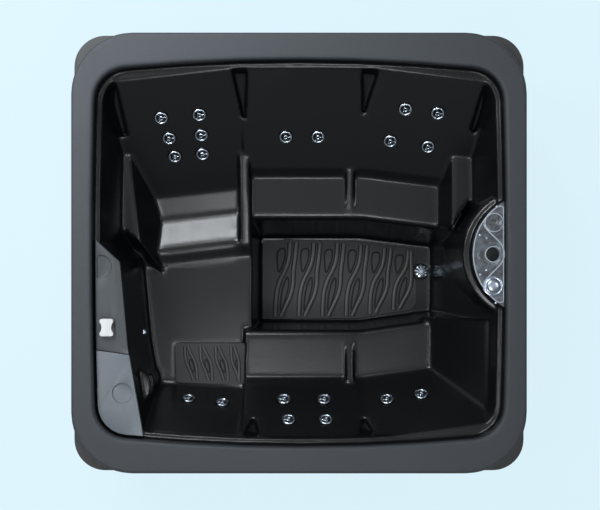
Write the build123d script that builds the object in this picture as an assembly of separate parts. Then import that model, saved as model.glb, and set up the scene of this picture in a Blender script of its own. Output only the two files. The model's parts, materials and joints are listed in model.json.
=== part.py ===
from build123d import *
from math import acos, atan2, cos, degrees, hypot, pi, radians, sin, tan
import os

# A five seat rotomoulded hot tub with a lounger, in millimetres.
# The origin is on the ground under the middle of the rim, +X runs along the
# longer side, +Y towards the lounger's headrest and +Z up.

# Rim
tub_length = 2036
tub_width = 1970
tub_height = 860
lip_corner = 276
lip_drop = 58
lip_edge_radius = 16
skin = 10
overrun = 300

# Runs that stand for a round, and sides of a small round piece
round_steps = 3
bow_steps = 6
round_sides = 16
hex_sides = 6
jet_sides = 8
bezel_sides = 12

# Opening in the rim, whose sides bow outwards
opening_length = 1858
opening_width = 1736
opening_bow_x = 15
opening_bow_y = 50
opening_corner = 150
opening_draft = 5
opening_edge = 9
ledge_height = 790
ledge_inset = 22

# Bowl below the ledge
floor_height = 115
floor_left = -724
floor_right = 682
floor_half_width = 760
floor_corner = 110

# Benches, as heights and distances from the middle of the tub
seat_height = 450
seat_riser = 40
seat_nose_radius = 34
seat_crease_radius = 14
head_front_floor = 83
head_front = 165
head_seat_back = 367
head_riser_top = 410
head_pad_top = 846
foot_front_floor = 354
foot_front = 374
foot_seat_back = 603
foot_riser_top = 630
foot_pad_top = 850
corner_seat_x = 306
head_corner_turn = -7
foot_corner_turn = 8

# Lounger, from the headrest down to the calf rest
lounger_turn = 6.5
lounger_pad_foot = 371
lounger_pad_foot_height = 440
lounger_crease = 322
lounger_crease_height = 405
lounger_dip = 215
lounger_dip_height = 372
lounger_knee = 55
lounger_knee_height = 438
lounger_knee_front = -12
calf_height = 400
lounger_overlap = 260
lounger_foot_wall = 668
lounger_foot_turn = 4

# Arm wall between the lounger and the foot well
arm_wall_left = -288
arm_wall_right = -243
arm_wall_foot = -201
arm_wall_back = 560
arm_wall_back_height = 548
arm_wall_knee = 40

# Arm rests and the corner bolster moulded into the side walls
armrest_height = 560
armrest_spread = 55
armrest_spread_drop = 120
bolster_front = 312
bolster_foot = 590
bolster_foot_height = 395
bolster_top = 862
bolster_top_height = 715

left_armrest_shares = [(-1, 0.4772), (-0.7908, 0.4772), (-0.7426, 0.05685), (-0.8193, 0.1137), (-1, 0.2477)]
right_armrest_edge = 728
right_armrest_corner_x = 655
right_armrest_corner_y = 24
right_armrest_slope_share = 1.4

# Raised fold between the two seats of each bench
fold_x = 247
fold_width = 36
fold_height = 46

# Pockets between the backrest pads, in plan
pocket_depth = 52
head_fold_pocket_shares = [(0.2937, 0.6406), (0.2721, 1), (0.4047, 1)]
head_arm_pocket_shares = [(-0.2485, 0.5949), (-0.332, 1), (-0.222, 1)]
head_corner_pocket_shares = [
    (0.7878, 0.5807), (0.835, 0.802), (0.835, 1),
    (0.9823, 1), (0.9823, 0.7716), (0.8035, 0.5685),
]
head_deck_pocket_shares = [
    (-0.7927, 0.5563), (-0.8193, 0.7848), (-0.8193, 1),
    (-0.9921, 1), (-0.9921, 0.5563),
]
foot_arm_pocket_shares = [(-0.2102, -0.7746), (-0.3389, -1), (-0.1031, -1)]
foot_fold_pocket_shares = [(0.2908, -0.7695), (0.2181, -1), (0.4538, -1)]

# Control deck on the left with its covers and filter well
deck_shares = [
    (-1, 0.1523), (-0.7937, -0.04061), (-0.7898, -0.06904), (-0.7583, -0.4315),
    (-0.6906, -0.8305), (-0.6778, -1), (-1, -1),
]
deck_side_first = 2
deck_spread = 43
deck_spread_drop = 370
cover_thickness = 22
cover_gap = 6
seam_gap = 3
seam_middle = -440
seam_turn = -8
finger_recess_radius = 45
finger_recess_depth = 8
finger_recess_x = -797
finger_recess_y = -632
filter_x = -838
filter_y = -619
filter_well_radius = 76
filter_well_floor = 452
filter_bulge_x = -775
filter_bulge_radius = 95
filter_bulge_top = 700
cartridge_radius = 62
cartridge_core_radius = 26
cartridge_height = 262
cartridge_pleats = 14
pleat_depth = 16
standpipe_radius = 22
standpipe_height = 60
standpipe_flange = 8
standpipe_tail = 30
weir_width = 96
weir_bottom = 598
weir_top = 672
weir_start_share = 0.75
dee_x = -896
dee_y = -62
dee_radius = 52
dee_flat = 14

# Shelf on the right and the feature plate on it
shelf_height = 815
shelf_reach = 148
shelf_half_length = 243
shelf_middle = -6
shelf_step_reach = 34
shelf_step_drop = 40
shelf_spread = 17
plate_thickness = 6
plate_edge = 4
lens_x = 877
lens_y = 137
lens_radius = 44
lens_rise = 7
spout_x = 853
spout_y = -6
spout_radius = 62
spout_bore_x = 878
spout_bore_radius = 33
diverter_x = 871
diverter_y = -147
diverter_radius = 46
diverter_knob_height = 24
diverter_depth = 110
diverter_rotor = 29
spout_tube = 70
dish_floor_share = 0.65
screw_head_radius = 5
screw_head_height = 2.5
plate_screw_shares = [
    (0.8743, 0.2112), (0.7996, 0.08122), (0.8281, 0.06701),
    (0.8281, -0.07919), (0.8006, -0.09848), (0.8694, -0.2274),
]
light_neck = 48
light_head = 16
light_head_share = 0.7
diverter_port_share = 1.4
diverter_bar_share = 0.86
diverter_bar_width_share = 0.36

# Jets
jet_hole_radius = 24.5
jet_body_radius = 24
jet_body_length = 58
jet_flange_radius = 30
jet_flange = 2.5
jet_bore_radius = 19
jet_bore_depth = 40
jet_nut_radius = 33
jet_nut_height = 11
jet_face_gap = 0.3
jet_spokes = 3
bezel_radius = 32
bezel_inner_radius = 21.5
bezel_height = 6
barrel_radius = 11
barrel_depth = 18
nozzle_radius = 5
spoke_width = 4
return_jet_radius = 18
return_jet_y = -381
return_jet_height = 500

# Suction fitting in the foot well floor
suction_x = 634
suction_y = -96
suction_hole_radius = 30
suction_body_radius = 29
suction_cover_radius = 42
suction_cover_height = 16
suction_cover_sides = 16
suction_slots = 8
suction_bore_radius = 22
suction_body_floor = 46
suction_pipe_height = 75
suction_port = 45
suction_crown_share = 0.72
suction_slot_share = 0.5
suction_wall = 4
suction_flange_inset = 8

# Air control on the deck
air_x = -863
air_y = -334
air_body_radius = 21
air_hole_radius = 21.5
air_body_length = 140
air_collar_radius = 36
air_collar_height = 5
air_knob_length = 78
air_knob_width = 60
air_knob_height = 22
air_knob_waist = 9
stem_radius = 9
stem_clearance = 0.3

# Mats
mat_thickness = 8
mat_gap = 1
mat_notch = 11
foot_well_mat_shares = [
    (-0.1847, 0.05279), (-0.0668, 0.07107), (0.2947, 0.05888), (0.5747, 0.0203), (0.5953, -0.00203),
    (0.5953, -0.266), (0.5678, -0.2964), (0.2947, -0.3431), (-0.1847, -0.3472),
]
foot_mat_shares = [(-0.5982, -0.4487), (-0.2574, -0.4487), (-0.2652, -0.6579), (-0.5923, -0.6457)]

# Cabinet, base and access door
cabinet_length = 2028
cabinet_width = 1962
cabinet_corner = 140
cabinet_wall = 12
cabinet_flange_inset = 54
cabinet_flange_corner = 200
cabinet_flange = 12
panel_gap = 0.3
base_thickness = 30
base_gap = 0.5
pedestal_right = 530
base_plate = 10
base_rib = 60
door_frame_depth = 8
door_left = 40
door_right = 640
door_bottom = 110
door_top = 630
door_gap = 0.5
door_frame = 20
door_seat = 0.3
door_slots = 6
door_slot_height = 10
door_slot_start = 60
door_slot_pitch = 40
door_slot_share = 0.6
door_screw_radius = 9
door_screw_inset = 22
door_screw_head = 3

# Pump, its wet end and its valves
pump_x = 200
pump_y = 600
pump_axis = 150
motor_radius = 82
motor_length = 240
motor_foot_length = 160
motor_foot_width = 130
motor_box_length = 110
motor_box_width = 80
motor_box_height = 46
motor_foot_share = 0.7
volute_radius = 96
volute_length = 84
chamber_radius = 78
chamber_wall = 16
impeller_radius = 72
impeller_disc = 8
impeller_vane = 22
impeller_vanes = 6
impeller_vane_width = 6
shaft_radius = 8
shaft_clearance = 0.05
shaft_bore_depth = 60
pipe_radius = 24
pipe_bore_radius = 20
pipe_wall = 4
port_radius = 31
port_length = 34
valve_length = 44
valve_width = 92
valve_height = 128
gate_thickness = 6
gate_width = 60
gate_clearance = 0.4
gate_travel = 52
gate_length = 112
gate_handle_width = 76
gate_handle_height = 14
gate_handle_depth = 22

# Heater, control pack, ozone unit and return manifold
heater_axis_y = 850
heater_axis = 372
heater_radius = 34
heater_length = 330
heater_x = 70
heater_bolt_radius = 5
heater_bolt_length = 16
heater_bolt_shares = (0.3, 0.7)
pack_x = -150
pack_y = 780
pack_length = 300
pack_depth = 110
pack_height = 240
pack_lid = 12
pack_wall = 5
manifold_length = 230
manifold_radius = 34
barb_radius = 11
barb_length = 28
barb_count = 5
barb_bore_radius = 8

# Drain and cable gland in the cabinet's back
drain_x = -420
drain_height = 72
drain_hole_radius = 18
drain_body_radius = 16.5
drain_body_length = 70
drain_flange_radius = 26
drain_flange = 6
drain_cap_radius = 12
drain_cap_length = 24
drain_cap_bar = 6
drain_recess = 4
gland_x = -560
gland_height = 90
gland_hole_radius = 12.5
gland_body_radius = 12
gland_head_radius = 18
gland_head = 8
gland_bore_radius = 6
gland_tail = 16

# Places on the pads, as shares of pad width from its inner side and of its slope
pad_width = 534
lounger_pad_width = 600
lounger_jet_shares = [(0.68, 0.64), (0.385, 0.63), (0.633, 0.45), (0.38, 0.445), (0.6, 0.277), (0.38, 0.27)]
head_middle_jet_shares = [(0.69, 0.32), (0.405, 0.32)]
head_corner_jet_shares = [(0.35, 0.64), (0.63, 0.64), (0.235, 0.31), (0.57, 0.3)]
foot_lounger_jet_shares = [(0.495, 0.29), (0.223, 0.32)]
foot_middle_jet_shares = [(0.705, 0.29), (0.35, 0.29), (0.663, 0.648), (0.34, 0.648)]
foot_corner_jet_shares = [(0.204, 0.348), (0.507, 0.343)]


def shifted(points, distance):
    """The outline's corners after every side has moved outwards by distance."""
    count = len(points)
    area = sum(points[i - 1][0] * points[i][1] - points[i][0] * points[i - 1][1] for i in range(count))
    side = 1 if area > 0 else -1
    lines = []
    for i in range(count):
        x0, y0 = points[i]
        x1, y1 = points[(i + 1) % count]
        length = hypot(x1 - x0, y1 - y0)
        nx = side * (y1 - y0) / length
        ny = -side * (x1 - x0) / length
        lines.append((nx, ny, nx * x0 + ny * y0 + distance))
    moved = []
    for i in range(count):
        a0, b0, c0 = lines[i - 1]
        a1, b1, c1 = lines[i]
        det = a0 * b1 - a1 * b0
        moved.append(((c0 * b1 - c1 * b0) / det, (a0 * c1 - a1 * c0) / det))
    return moved


def placed(shares):
    """Plan points from shares of the rim's half length and half width."""
    return [(across * tub_length / 2, along * tub_width / 2) for across, along in shares]


def flat_face(points, height):
    """A level face through plan points."""
    return make_face(Polyline(*[(x, y, height) for x, y in points], close=True)).face()


def block(points, bottom, top):
    """A straight sided block over plan points."""
    return extrude(flat_face(points, bottom), amount=top - bottom)


def drafted(points, top, spread, drop, grow):
    """A block with level top whose sides spread outwards on their way down."""
    fall = top + grow + overrun
    lower = [(x, y, -overrun) for x, y in shifted(points, grow + spread * fall / drop)]
    return span(lower, [(x, y, top + grow) for x, y in shifted(points, grow)])


def span(lower, upper):
    """A solid between two outlines of equal count, its sides in flat triangles."""
    count = len(lower)
    faces = [make_face(Polyline(*lower, close=True)).face(), make_face(Polyline(*upper, close=True)).face()]
    for i in range(count):
        j = (i + 1) % count
        faces.append(make_face(Polyline(lower[i], lower[j], upper[j], close=True)).face())
        faces.append(make_face(Polyline(lower[i], upper[j], upper[i], close=True)).face())
    return Solid(Shell(faces))


def pit(points, floor, grow):
    """A straight walled space above a floor, larger by grow on every side."""
    return block(shifted(points, grow), floor - grow, tub_height)


def disc(radius, sides=0):
    """A round face, drawn with flats where the number of sides is given."""
    return RegularPolygon(radius, sides) if sides else Circle(radius)


def drum(x, y, bottom, top, radius, sides=round_sides):
    """An upright round piece between two heights."""
    return Pos(x, y, bottom) * extrude(disc(radius, sides), amount=top - bottom)


def dish(x, y, bottom, top, low_radius, high_radius, sides=round_sides):
    """An upright round piece whose radius changes from bottom to top."""
    rings = []
    for height, radius in ((bottom, low_radius), (top, high_radius)):
        turns = [2 * pi * i / sides for i in range(sides)]
        rings.append([(x + radius * cos(turn), y + radius * sin(turn), height) for turn in turns])
    return span(*rings)


def rod(start, end, radius, sides=round_sides):
    """A round piece between two points."""
    way = Vector(*end) - Vector(*start)
    return extrude(Plane(start, z_dir=way) * disc(radius, sides), amount=way.length)


def box(low, high):
    """A box between two corners."""
    size = [b - a for a, b in zip(low, high)]
    return Pos(*low) * Box(*size, align=(Align.MIN, Align.MIN, Align.MIN))


def eased(points, radii):
    """The outline with each corner cut back to a round of a few straight runs."""
    count = len(points)
    smooth = []
    for i in range(count):
        x1, y1 = points[i]
        if radii[i] == 0:
            smooth.append((x1, y1))
            continue
        before = Vector(points[i - 1][0] - x1, points[i - 1][1] - y1).normalized()
        after = Vector(points[(i + 1) % count][0] - x1, points[(i + 1) % count][1] - y1).normalized()
        half = acos(before.dot(after)) / 2
        out = Vector(x1, y1) + (before + after).normalized() * (radii[i] / sin(half))
        first = Vector(x1, y1) + before * (radii[i] / tan(half)) - out
        turn = pi - 2 * half
        if before.cross(after).Z > 0:
            turn = -turn
        for step in range(round_steps + 1):
            spoke = first.rotate(Axis.Z, degrees(turn * step / round_steps))
            smooth.append((out.X + spoke.X, out.Y + spoke.Y))
    return smooth


def side_profile(outline, rounds, x, grow):
    """A seat's side view as a face, its rounds kept true as it grows."""
    moved = shifted(outline, grow)
    radii = [0 if r == 0 else max(abs(r) + (grow if r > 0 else -grow), skin / 4) for r in rounds]
    return make_face(Polyline(*[(x, y, z) for y, z in eased(moved, radii)], close=True)).face()


def seat_slab(outline, rounds, start, end, turn, grow):
    """A seat's side view carried along X, sideways by the angle turn."""
    way = Vector(end - start, (end - start) * tan(radians(turn)), 0)
    return Solid.extrude(side_profile(outline, rounds, start, grow), way)


def bowed_outline(left, right, half_width, corner, height):
    """Points round a shape with four sides that bow outwards and round corners."""
    middle = (left + right) / 2
    near_left = left + opening_bow_x
    near_right = right - opening_bow_x
    near_back = half_width - opening_bow_y
    sides = [
        ThreePointArc((near_left, -near_back), (middle, -half_width), (near_right, -near_back)),
        ThreePointArc((near_right, -near_back), (right, 0), (near_right, near_back)),
        ThreePointArc((near_right, near_back), (middle, half_width), (near_left, near_back)),
        ThreePointArc((near_left, near_back), (left, 0), (near_left, -near_back)),
    ]
    face = fillet(make_face(sides).vertices(), corner).face()
    points = []
    for edge in face.outer_wire().edges():
        for step in range(bow_steps):
            points.append(edge.position_at(step / bow_steps))
    points.sort(key=lambda point: atan2(point.Y, point.X - middle))
    return [(point.X, point.Y, height) for point in points]


def opening_outline(out, height):
    """The rim's opening, larger by out, at one height."""
    half_length = opening_length / 2 + out
    return bowed_outline(-half_length, half_length, opening_width / 2 + out, opening_corner + out, height)


def floor_outline(out):
    """The bowl's outline at its floor, larger and lower by out."""
    left = floor_left - out
    right = floor_right + out
    return bowed_outline(left, right, floor_half_width + out, floor_corner + out, floor_height - out)


def bowl(grow):
    """The water space before the seats fill it."""
    upper_foot = opening_outline(grow - opening_draft, ledge_height - grow)
    ledge = opening_outline(grow - opening_draft - ledge_inset, ledge_height)
    lower = span(floor_outline(grow), ledge)
    if grow > 0:
        return lower + span(upper_foot, opening_outline(grow, tub_height - skin / 2))
    crest = opening_outline(0, tub_height - opening_edge)
    return lower + span(upper_foot, crest) + span(crest, opening_outline(opening_edge, tub_height))


def front_foot(front_floor, front):
    """Where a bench's sloping front would meet the lowest level."""
    return front_floor - (front - front_floor) * (floor_height + overrun) / (seat_height - floor_height)


def head_outline():
    return [
        (front_foot(head_front_floor, head_front), -overrun),
        (head_front, seat_height),
        (head_seat_back, seat_height),
        (head_riser_top, seat_height + seat_riser),
        (head_pad_top, ledge_height),
        (tub_width, ledge_height),
        (tub_width, -overrun),
    ]


def foot_outline():
    return [
        (-front_foot(foot_front_floor, foot_front), -overrun),
        (-foot_front, seat_height),
        (-foot_seat_back, seat_height),
        (-foot_riser_top, seat_height + seat_riser),
        (-foot_pad_top, ledge_height),
        (-tub_width, ledge_height),
        (-tub_width, -overrun),
    ]


def benches(grow):
    """The two benches, each with a straight run and a turned corner seat."""
    rounds = [0, seat_nose_radius, -seat_crease_radius, seat_crease_radius, 0, 0, 0]
    start = (arm_wall_left + arm_wall_right) / 2 - grow
    slabs = []
    for outline, turn in ((head_outline(), head_corner_turn), (foot_outline(), foot_corner_turn)):
        slabs.append(seat_slab(outline, rounds, start, corner_seat_x, 0, grow))
        slabs.append(seat_slab(outline, rounds, corner_seat_x, tub_length / 2, turn, grow))
    return slabs


def seat_folds(grow):
    """The raised fold between the seats of each bench."""
    folds = []
    for front, back in ((head_front, head_riser_top), (-foot_front, -foot_riser_top)):
        away = 1 if back > 0 else -1
        outline = [
            (front + away * seat_nose_radius, seat_height),
            (back + away * seat_nose_radius, seat_height + fold_height),
            (back + away * seat_nose_radius, seat_height - fold_height),
            (front + away * seat_nose_radius, seat_height - fold_height),
        ]
        side = side_profile(outline, [0, 0, 0, 0], fold_x - fold_width / 2 - grow, grow)
        folds.append(Solid.extrude(side, Vector(fold_width + 2 * grow, 0, 0)))
    return folds


def foot_well_side(grow):
    """Everything on the lounger's side of the foot well's sloping wall."""
    lean = (arm_wall_foot - arm_wall_right) / (arm_wall_back_height - floor_height)
    section = [
        (arm_wall_foot + lean * (floor_height + overrun), -overrun),
        (arm_wall_right, arm_wall_back_height),
        (arm_wall_right, tub_height),
        (-tub_length, tub_height),
        (-tub_length, -overrun),
    ]
    moved = shifted(section, grow)
    face = make_face(Polyline(*[(x, -tub_width, z) for x, z in moved], close=True)).face()
    return Solid.extrude(face, Vector(0, 2 * tub_width, 0))


def lounger(grow):
    """The lounger's back, dip, knee and calf rest, its foot wall and arm wall."""
    soft = seat_nose_radius
    upper = [
        (-lounger_overlap, -overrun),
        (-lounger_overlap, calf_height),
        (lounger_knee_front, calf_height),
        (lounger_knee, lounger_knee_height),
        (lounger_dip, lounger_dip_height),
        (lounger_crease, lounger_crease_height),
        (lounger_pad_foot, lounger_pad_foot_height),
        (head_pad_top, ledge_height),
        (tub_width, ledge_height),
        (tub_width, -overrun),
    ]
    upper_rounds = [0, 0, -soft, soft, -2 * soft, -soft, soft, 0, 0, 0]
    lower = [
        (-lounger_overlap + soft, -overrun),
        (-lounger_overlap + soft, calf_height),
        (-lounger_foot_wall, calf_height),
        (-foot_pad_top, ledge_height),
        (-tub_width, ledge_height),
        (-tub_width, -overrun),
    ]
    lower_rounds = [0, 0, -soft, 0, 0, 0]
    arm = [
        (-lounger_foot_wall - soft, -overrun),
        (-lounger_foot_wall - soft, calf_height),
        (lounger_knee_front, calf_height),
        (arm_wall_knee, lounger_knee_height),
        (arm_wall_back, arm_wall_back_height),
        (arm_wall_back, -overrun),
    ]
    arm_rounds = [0, 0, -soft, soft, 0, 0]
    start = arm_wall_right + skin
    end = -tub_length / 2
    back = seat_slab(upper, upper_rounds, start, end, lounger_turn, grow)
    foot = seat_slab(lower, lower_rounds, start, end, -lounger_foot_turn, grow)
    arm_wall = seat_slab(arm, arm_rounds, arm_wall_left - grow, 0, 0, grow)
    return (back + foot + arm_wall) & foot_well_side(grow)


def left_armrest(grow):
    return drafted(placed(left_armrest_shares), armrest_height, armrest_spread, armrest_spread_drop, grow)


def right_armrest(grow):
    """The head corner's arm rest, kept behind the bench's own front."""
    lean = armrest_spread / armrest_spread_drop
    low = right_armrest_edge - lean * (armrest_height + overrun)
    section = [
        (low, -overrun),
        (right_armrest_edge, armrest_height),
        (tub_length, armrest_height),
        (tub_length, -overrun),
    ]
    face = make_face(Polyline(*[(x, 0, z) for x, z in shifted(section, grow)], close=True)).face()
    rise = Solid.extrude(face, Vector(0, tub_width / 2, 0))
    far = right_armrest_corner_y + right_armrest_slope_share * (tub_length - right_armrest_corner_x)
    end = [(right_armrest_corner_x, right_armrest_corner_y), (tub_length, far), (right_armrest_corner_x, far)]
    behind = block(shifted(end, grow), -overrun, tub_height)
    front = [
        (front_foot(head_front_floor, head_front), -overrun),
        (head_front, seat_height),
        (head_front, tub_height),
        (tub_width, tub_height),
        (tub_width, -overrun),
    ]
    bench = seat_slab(front, [0, 0, 0, 0, 0], corner_seat_x, tub_length / 2, head_corner_turn, grow)
    return rise & behind & bench


def corner_bolster(grow):
    """The rise from the foot end corner seat up to the right wall."""
    section = [
        (bolster_foot, bolster_foot_height),
        (bolster_top, bolster_top_height),
        (tub_length, bolster_top_height),
        (tub_length, -overrun),
        (bolster_foot, -overrun),
    ]
    front = grow - bolster_front
    face = make_face(Polyline(*[(x, front, z) for x, z in shifted(section, grow)], close=True)).face()
    return Solid.extrude(face, Vector(0, -tub_width, 0))


def deck(grow):
    """The control deck with the round filter bulge in its face."""
    ledge = drafted(placed(deck_shares), ledge_height, deck_spread, deck_spread_drop, grow)
    radius = filter_bulge_radius + grow
    return ledge + drum(filter_bulge_x, filter_y, -overrun, filter_bulge_top + grow, radius)


def shelf_outline(reach, half_length, height):
    """A half moon that reaches in from the right side of the opening."""
    wall = opening_length / 2 - opening_draft
    ends = [(wall, shelf_middle + half_length), (wall, shelf_middle - half_length)]
    arc = ThreePointArc(ends[0], (wall - reach, shelf_middle), ends[1])
    steps = 2 * bow_steps
    points = [arc.position_at(step / steps) for step in range(steps + 1)]
    corners = [(tub_length / 2, ends[1][1]), (tub_length / 2, ends[0][1])]
    return [(point.X, point.Y, height) for point in points] + [(x, y, height) for x, y in corners]


def shelf(grow):
    """The half moon shelf that carries the feature plate, on a wider step."""
    tiers = []
    for out, drop in ((0, 0), (shelf_step_reach, shelf_step_drop)):
        top = shelf_height - drop + grow
        near = out + grow
        wide = near + shelf_spread
        lower = shelf_outline(shelf_reach + wide, shelf_half_length + wide, floor_height - skin)
        tiers.append(span(lower, shelf_outline(shelf_reach + near, shelf_half_length + near, top)))
    return tiers[0] + tiers[1]


def pocket(plan, low, high, pivot, turn, grow):
    """A pocket between two pads, its floor parallel to the pads' slope."""
    (y0, z0), (y1, z1) = low, high
    away = 1 if y1 > y0 else -1
    rise = (z1 - z0) / (y1 - y0)
    under = pocket_depth + grow
    near = y0 - away * overrun
    far = y1 + away * overrun
    section = [
        (near, z0 + rise * (near - y0) - under),
        (far, z0 + rise * (far - y0) - under),
        (near, z0 + rise * (far - y0) - under),
    ]
    middle = sum(x for x, y in plan) / len(plan)
    start = -tub_length if turn == 0 else pivot
    end = tub_length if middle > pivot or turn == 0 else -tub_length
    way = Vector(end - start, (end - start) * tan(radians(turn)), 0)
    space = Solid.extrude(make_face(Polyline(*[(start, y, z) for y, z in section], close=True)).face(), way)
    return block(shifted(plan, grow), 0, tub_height + overrun) & space


def pockets(grow):
    """The pockets on both sides of the pads at the head and at the foot."""
    head_low = (head_riser_top, seat_height + seat_riser)
    head_high = (head_pad_top, ledge_height)
    lounger_low = (lounger_pad_foot, lounger_pad_foot_height)
    foot_low = (-foot_riser_top, seat_height + seat_riser)
    foot_high = (-foot_pad_top, ledge_height)
    places = [
        (head_arm_pocket_shares, head_low, head_high, corner_seat_x, 0),
        (head_fold_pocket_shares, head_low, head_high, corner_seat_x, 0),
        (head_corner_pocket_shares, head_low, head_high, corner_seat_x, head_corner_turn),
        (head_deck_pocket_shares, lounger_low, head_high, arm_wall_right, lounger_turn),
        (foot_arm_pocket_shares, foot_low, foot_high, corner_seat_x, 0),
        (foot_fold_pocket_shares, foot_low, foot_high, corner_seat_x, 0),
    ]
    return [pocket(placed(shares), low, high, pivot, turn, grow) for shares, low, high, pivot, turn in places]


def water(grow):
    """The space inside the shell, larger by grow on every side."""
    full = bowl(grow)
    room = full
    for solid in (
        *benches(-grow),
        *seat_folds(-grow),
        lounger(-grow),
        left_armrest(-grow),
        right_armrest(-grow),
        corner_bolster(-grow),
        deck(-grow),
        shelf(-grow),
    ):
        room = room - solid
    for space in pockets(grow):
        room = room + (space & full)
    return room + pit(placed(foot_mat_shares), calf_height - mat_thickness, grow)


def rounded_block(length, width, corner, bottom, top):
    return Pos(0, 0, bottom) * extrude(RectangleRounded(length, width, corner), amount=top - bottom)


def pad_plane(pivot, low, high, turn, across, share):
    """A place on a pad, with its normal out of the pad."""
    slant = tan(radians(turn))
    y = low[0] + (high[0] - low[0]) * share + across * slant
    z = low[1] + (high[1] - low[1]) * share
    along = Vector(1, slant, 0)
    up = Vector(0, high[0] - low[0], high[1] - low[1])
    normal = along.cross(up)
    if normal.Z < 0:
        normal = normal * -1
    return Plane(origin=(pivot + across, y, z), x_dir=along, z_dir=normal)


def jet_planes():
    """The twenty jets' places, pad by pad."""
    head_low = (head_riser_top, seat_height + seat_riser)
    head_high = (head_pad_top, ledge_height)
    foot_low = (-foot_riser_top, seat_height + seat_riser)
    foot_high = (-foot_pad_top, ledge_height)
    lounger_low = (lounger_pad_foot, lounger_pad_foot_height)
    lounger_foot_low = (-lounger_foot_wall, calf_height)
    arm_side = arm_wall_right + skin
    lounger_foot = (lounger_foot_low, foot_high, -lounger_foot_turn, -lounger_pad_width)
    pads = [
        (arm_side, lounger_low, head_high, lounger_turn, -lounger_pad_width, lounger_jet_shares),
        (corner_seat_x, head_low, head_high, 0, -pad_width, head_middle_jet_shares),
        (corner_seat_x, head_low, head_high, head_corner_turn, pad_width, head_corner_jet_shares),
        (arm_side, *lounger_foot, foot_lounger_jet_shares),
        (corner_seat_x, foot_low, foot_high, 0, -pad_width, foot_middle_jet_shares),
        (corner_seat_x, foot_low, foot_high, foot_corner_turn, pad_width, foot_corner_jet_shares),
    ]
    planes = []
    for pivot, low, high, turn, width, shares in pads:
        for across_share, up_share in shares:
            planes.append(pad_plane(pivot, low, high, turn, width * across_share, up_share))
    return planes


def return_jet_plane():
    """The place of the small return fitting in the deck's face."""
    start, end = placed(deck_shares)[deck_side_first:deck_side_first + 2]
    edge = Vector(end[0] - start[0], end[1] - start[1], 0)
    out = Vector(-edge.Y, edge.X, 0).normalized()
    normal = Vector(out.X, out.Y, deck_spread / deck_spread_drop)
    along = (return_jet_y - start[1]) / edge.Y
    spread = deck_spread * (ledge_height - return_jet_height) / deck_spread_drop
    x = start[0] + edge.X * along + spread / out.X
    return Plane(origin=(x, return_jet_y, return_jet_height), z_dir=normal)


def tub_shell():
    """The moulded shell with its turned down rim and every hole in it."""
    rim = rounded_block(tub_length, tub_width, lip_corner, tub_height - lip_drop, tub_height)
    rim = chamfer(rim.edges().group_by(Axis.Z)[-1], lip_edge_radius / 2)
    hollow_length = tub_length - 2 * skin
    hollow_width = tub_width - 2 * skin
    hollow = rounded_block(hollow_length, hollow_width, lip_corner - skin, 0, tub_height - skin)
    shell = rim - hollow + water(skin) - water(0)
    for plane in jet_planes():
        shell = shell - plane * extrude(disc(jet_hole_radius, jet_sides), amount=2 * skin, both=True)
    small = extrude(disc(return_jet_radius, jet_sides), amount=2 * skin, both=True)
    shell = shell - return_jet_plane() * small
    shell = shell - drum(suction_x, suction_y, 0, floor_height + skin, suction_hole_radius)
    shell = shell - drum(air_x, air_y, ledge_height - 2 * skin, tub_height, air_hole_radius)
    for x, y, radius in (
        (lens_x, lens_y, lens_radius / 2),
        (spout_bore_x, spout_y, spout_bore_radius + skin / 2),
        (diverter_x, diverter_y, diverter_radius - skin),
    ):
        shell = shell - drum(x, y, shelf_height - 2 * skin, tub_height, radius)
    return shell


def filter_well(shell):
    """The round well under the lid, with a weir duct to the water."""
    wall = drum(filter_x, filter_y, filter_well_floor - skin, ledge_height, filter_well_radius + skin)
    inner = drum(filter_x, filter_y, filter_well_floor, tub_height, filter_well_radius)
    drain = drum(filter_x, filter_y, 0, ledge_height, standpipe_radius + base_gap)
    reach = filter_bulge_x + filter_bulge_radius
    start = filter_x + filter_well_radius * weir_start_share
    duct = box(
        (start, filter_y - weir_width / 2 - skin, weir_bottom - skin),
        (reach, filter_y + weir_width / 2 + skin, weir_top + skin),
    )
    duct = duct & drum(filter_bulge_x, filter_y, 0, tub_height, filter_bulge_radius - skin / 2)
    passage = box(
        (filter_x, filter_y - weir_width / 2, weir_bottom),
        (reach + skin, filter_y + weir_width / 2, weir_top),
    )
    return shell + wall + duct - inner - passage - drain


def jet_body():
    """One jet body: flange on the pad, threaded tube behind it."""
    tube = extrude(disc(jet_body_radius, jet_sides), amount=-jet_body_length)
    flange = extrude(disc(jet_flange_radius, bezel_sides), amount=jet_flange)
    bore = Pos(0, 0, jet_flange) * extrude(disc(jet_bore_radius), amount=-jet_bore_depth)
    return tube + flange - bore


def jet_nut():
    """The six sided nut that clamps a jet body from behind the shell."""
    ring = disc(jet_nut_radius, hex_sides) - disc(jet_hole_radius, jet_sides)
    return Pos(0, 0, -skin) * extrude(ring, amount=-jet_nut_height)


def jet_face():
    """The turning face: fluted bezel, three spokes and the nozzle barrel."""
    seat = jet_flange + jet_face_gap
    bezel = RegularPolygon(bezel_radius, bezel_sides) - RegularPolygon(bezel_inner_radius, bezel_sides)
    face = Pos(0, 0, seat) * extrude(bezel, amount=bezel_height)
    barrel_sides = bezel_sides // 2
    barrel = Pos(0, 0, seat - barrel_depth) * extrude(
        RegularPolygon(barrel_radius, barrel_sides), amount=barrel_depth + bezel_height
    )
    reach = bezel_inner_radius
    for i in range(jet_spokes):
        spoke = Rot(0, 0, 360 * i / jet_spokes) * Pos(reach / 2, 0, seat) * Box(
            reach, spoke_width, bezel_height - jet_flange, align=(Align.CENTER, Align.CENTER, Align.MIN)
        )
        face = face + spoke
    hole = Pos(0, 0, seat - barrel_depth) * extrude(
        RegularPolygon(nozzle_radius, barrel_sides), amount=barrel_depth + bezel_height
    )
    return face + barrel - hole


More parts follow.
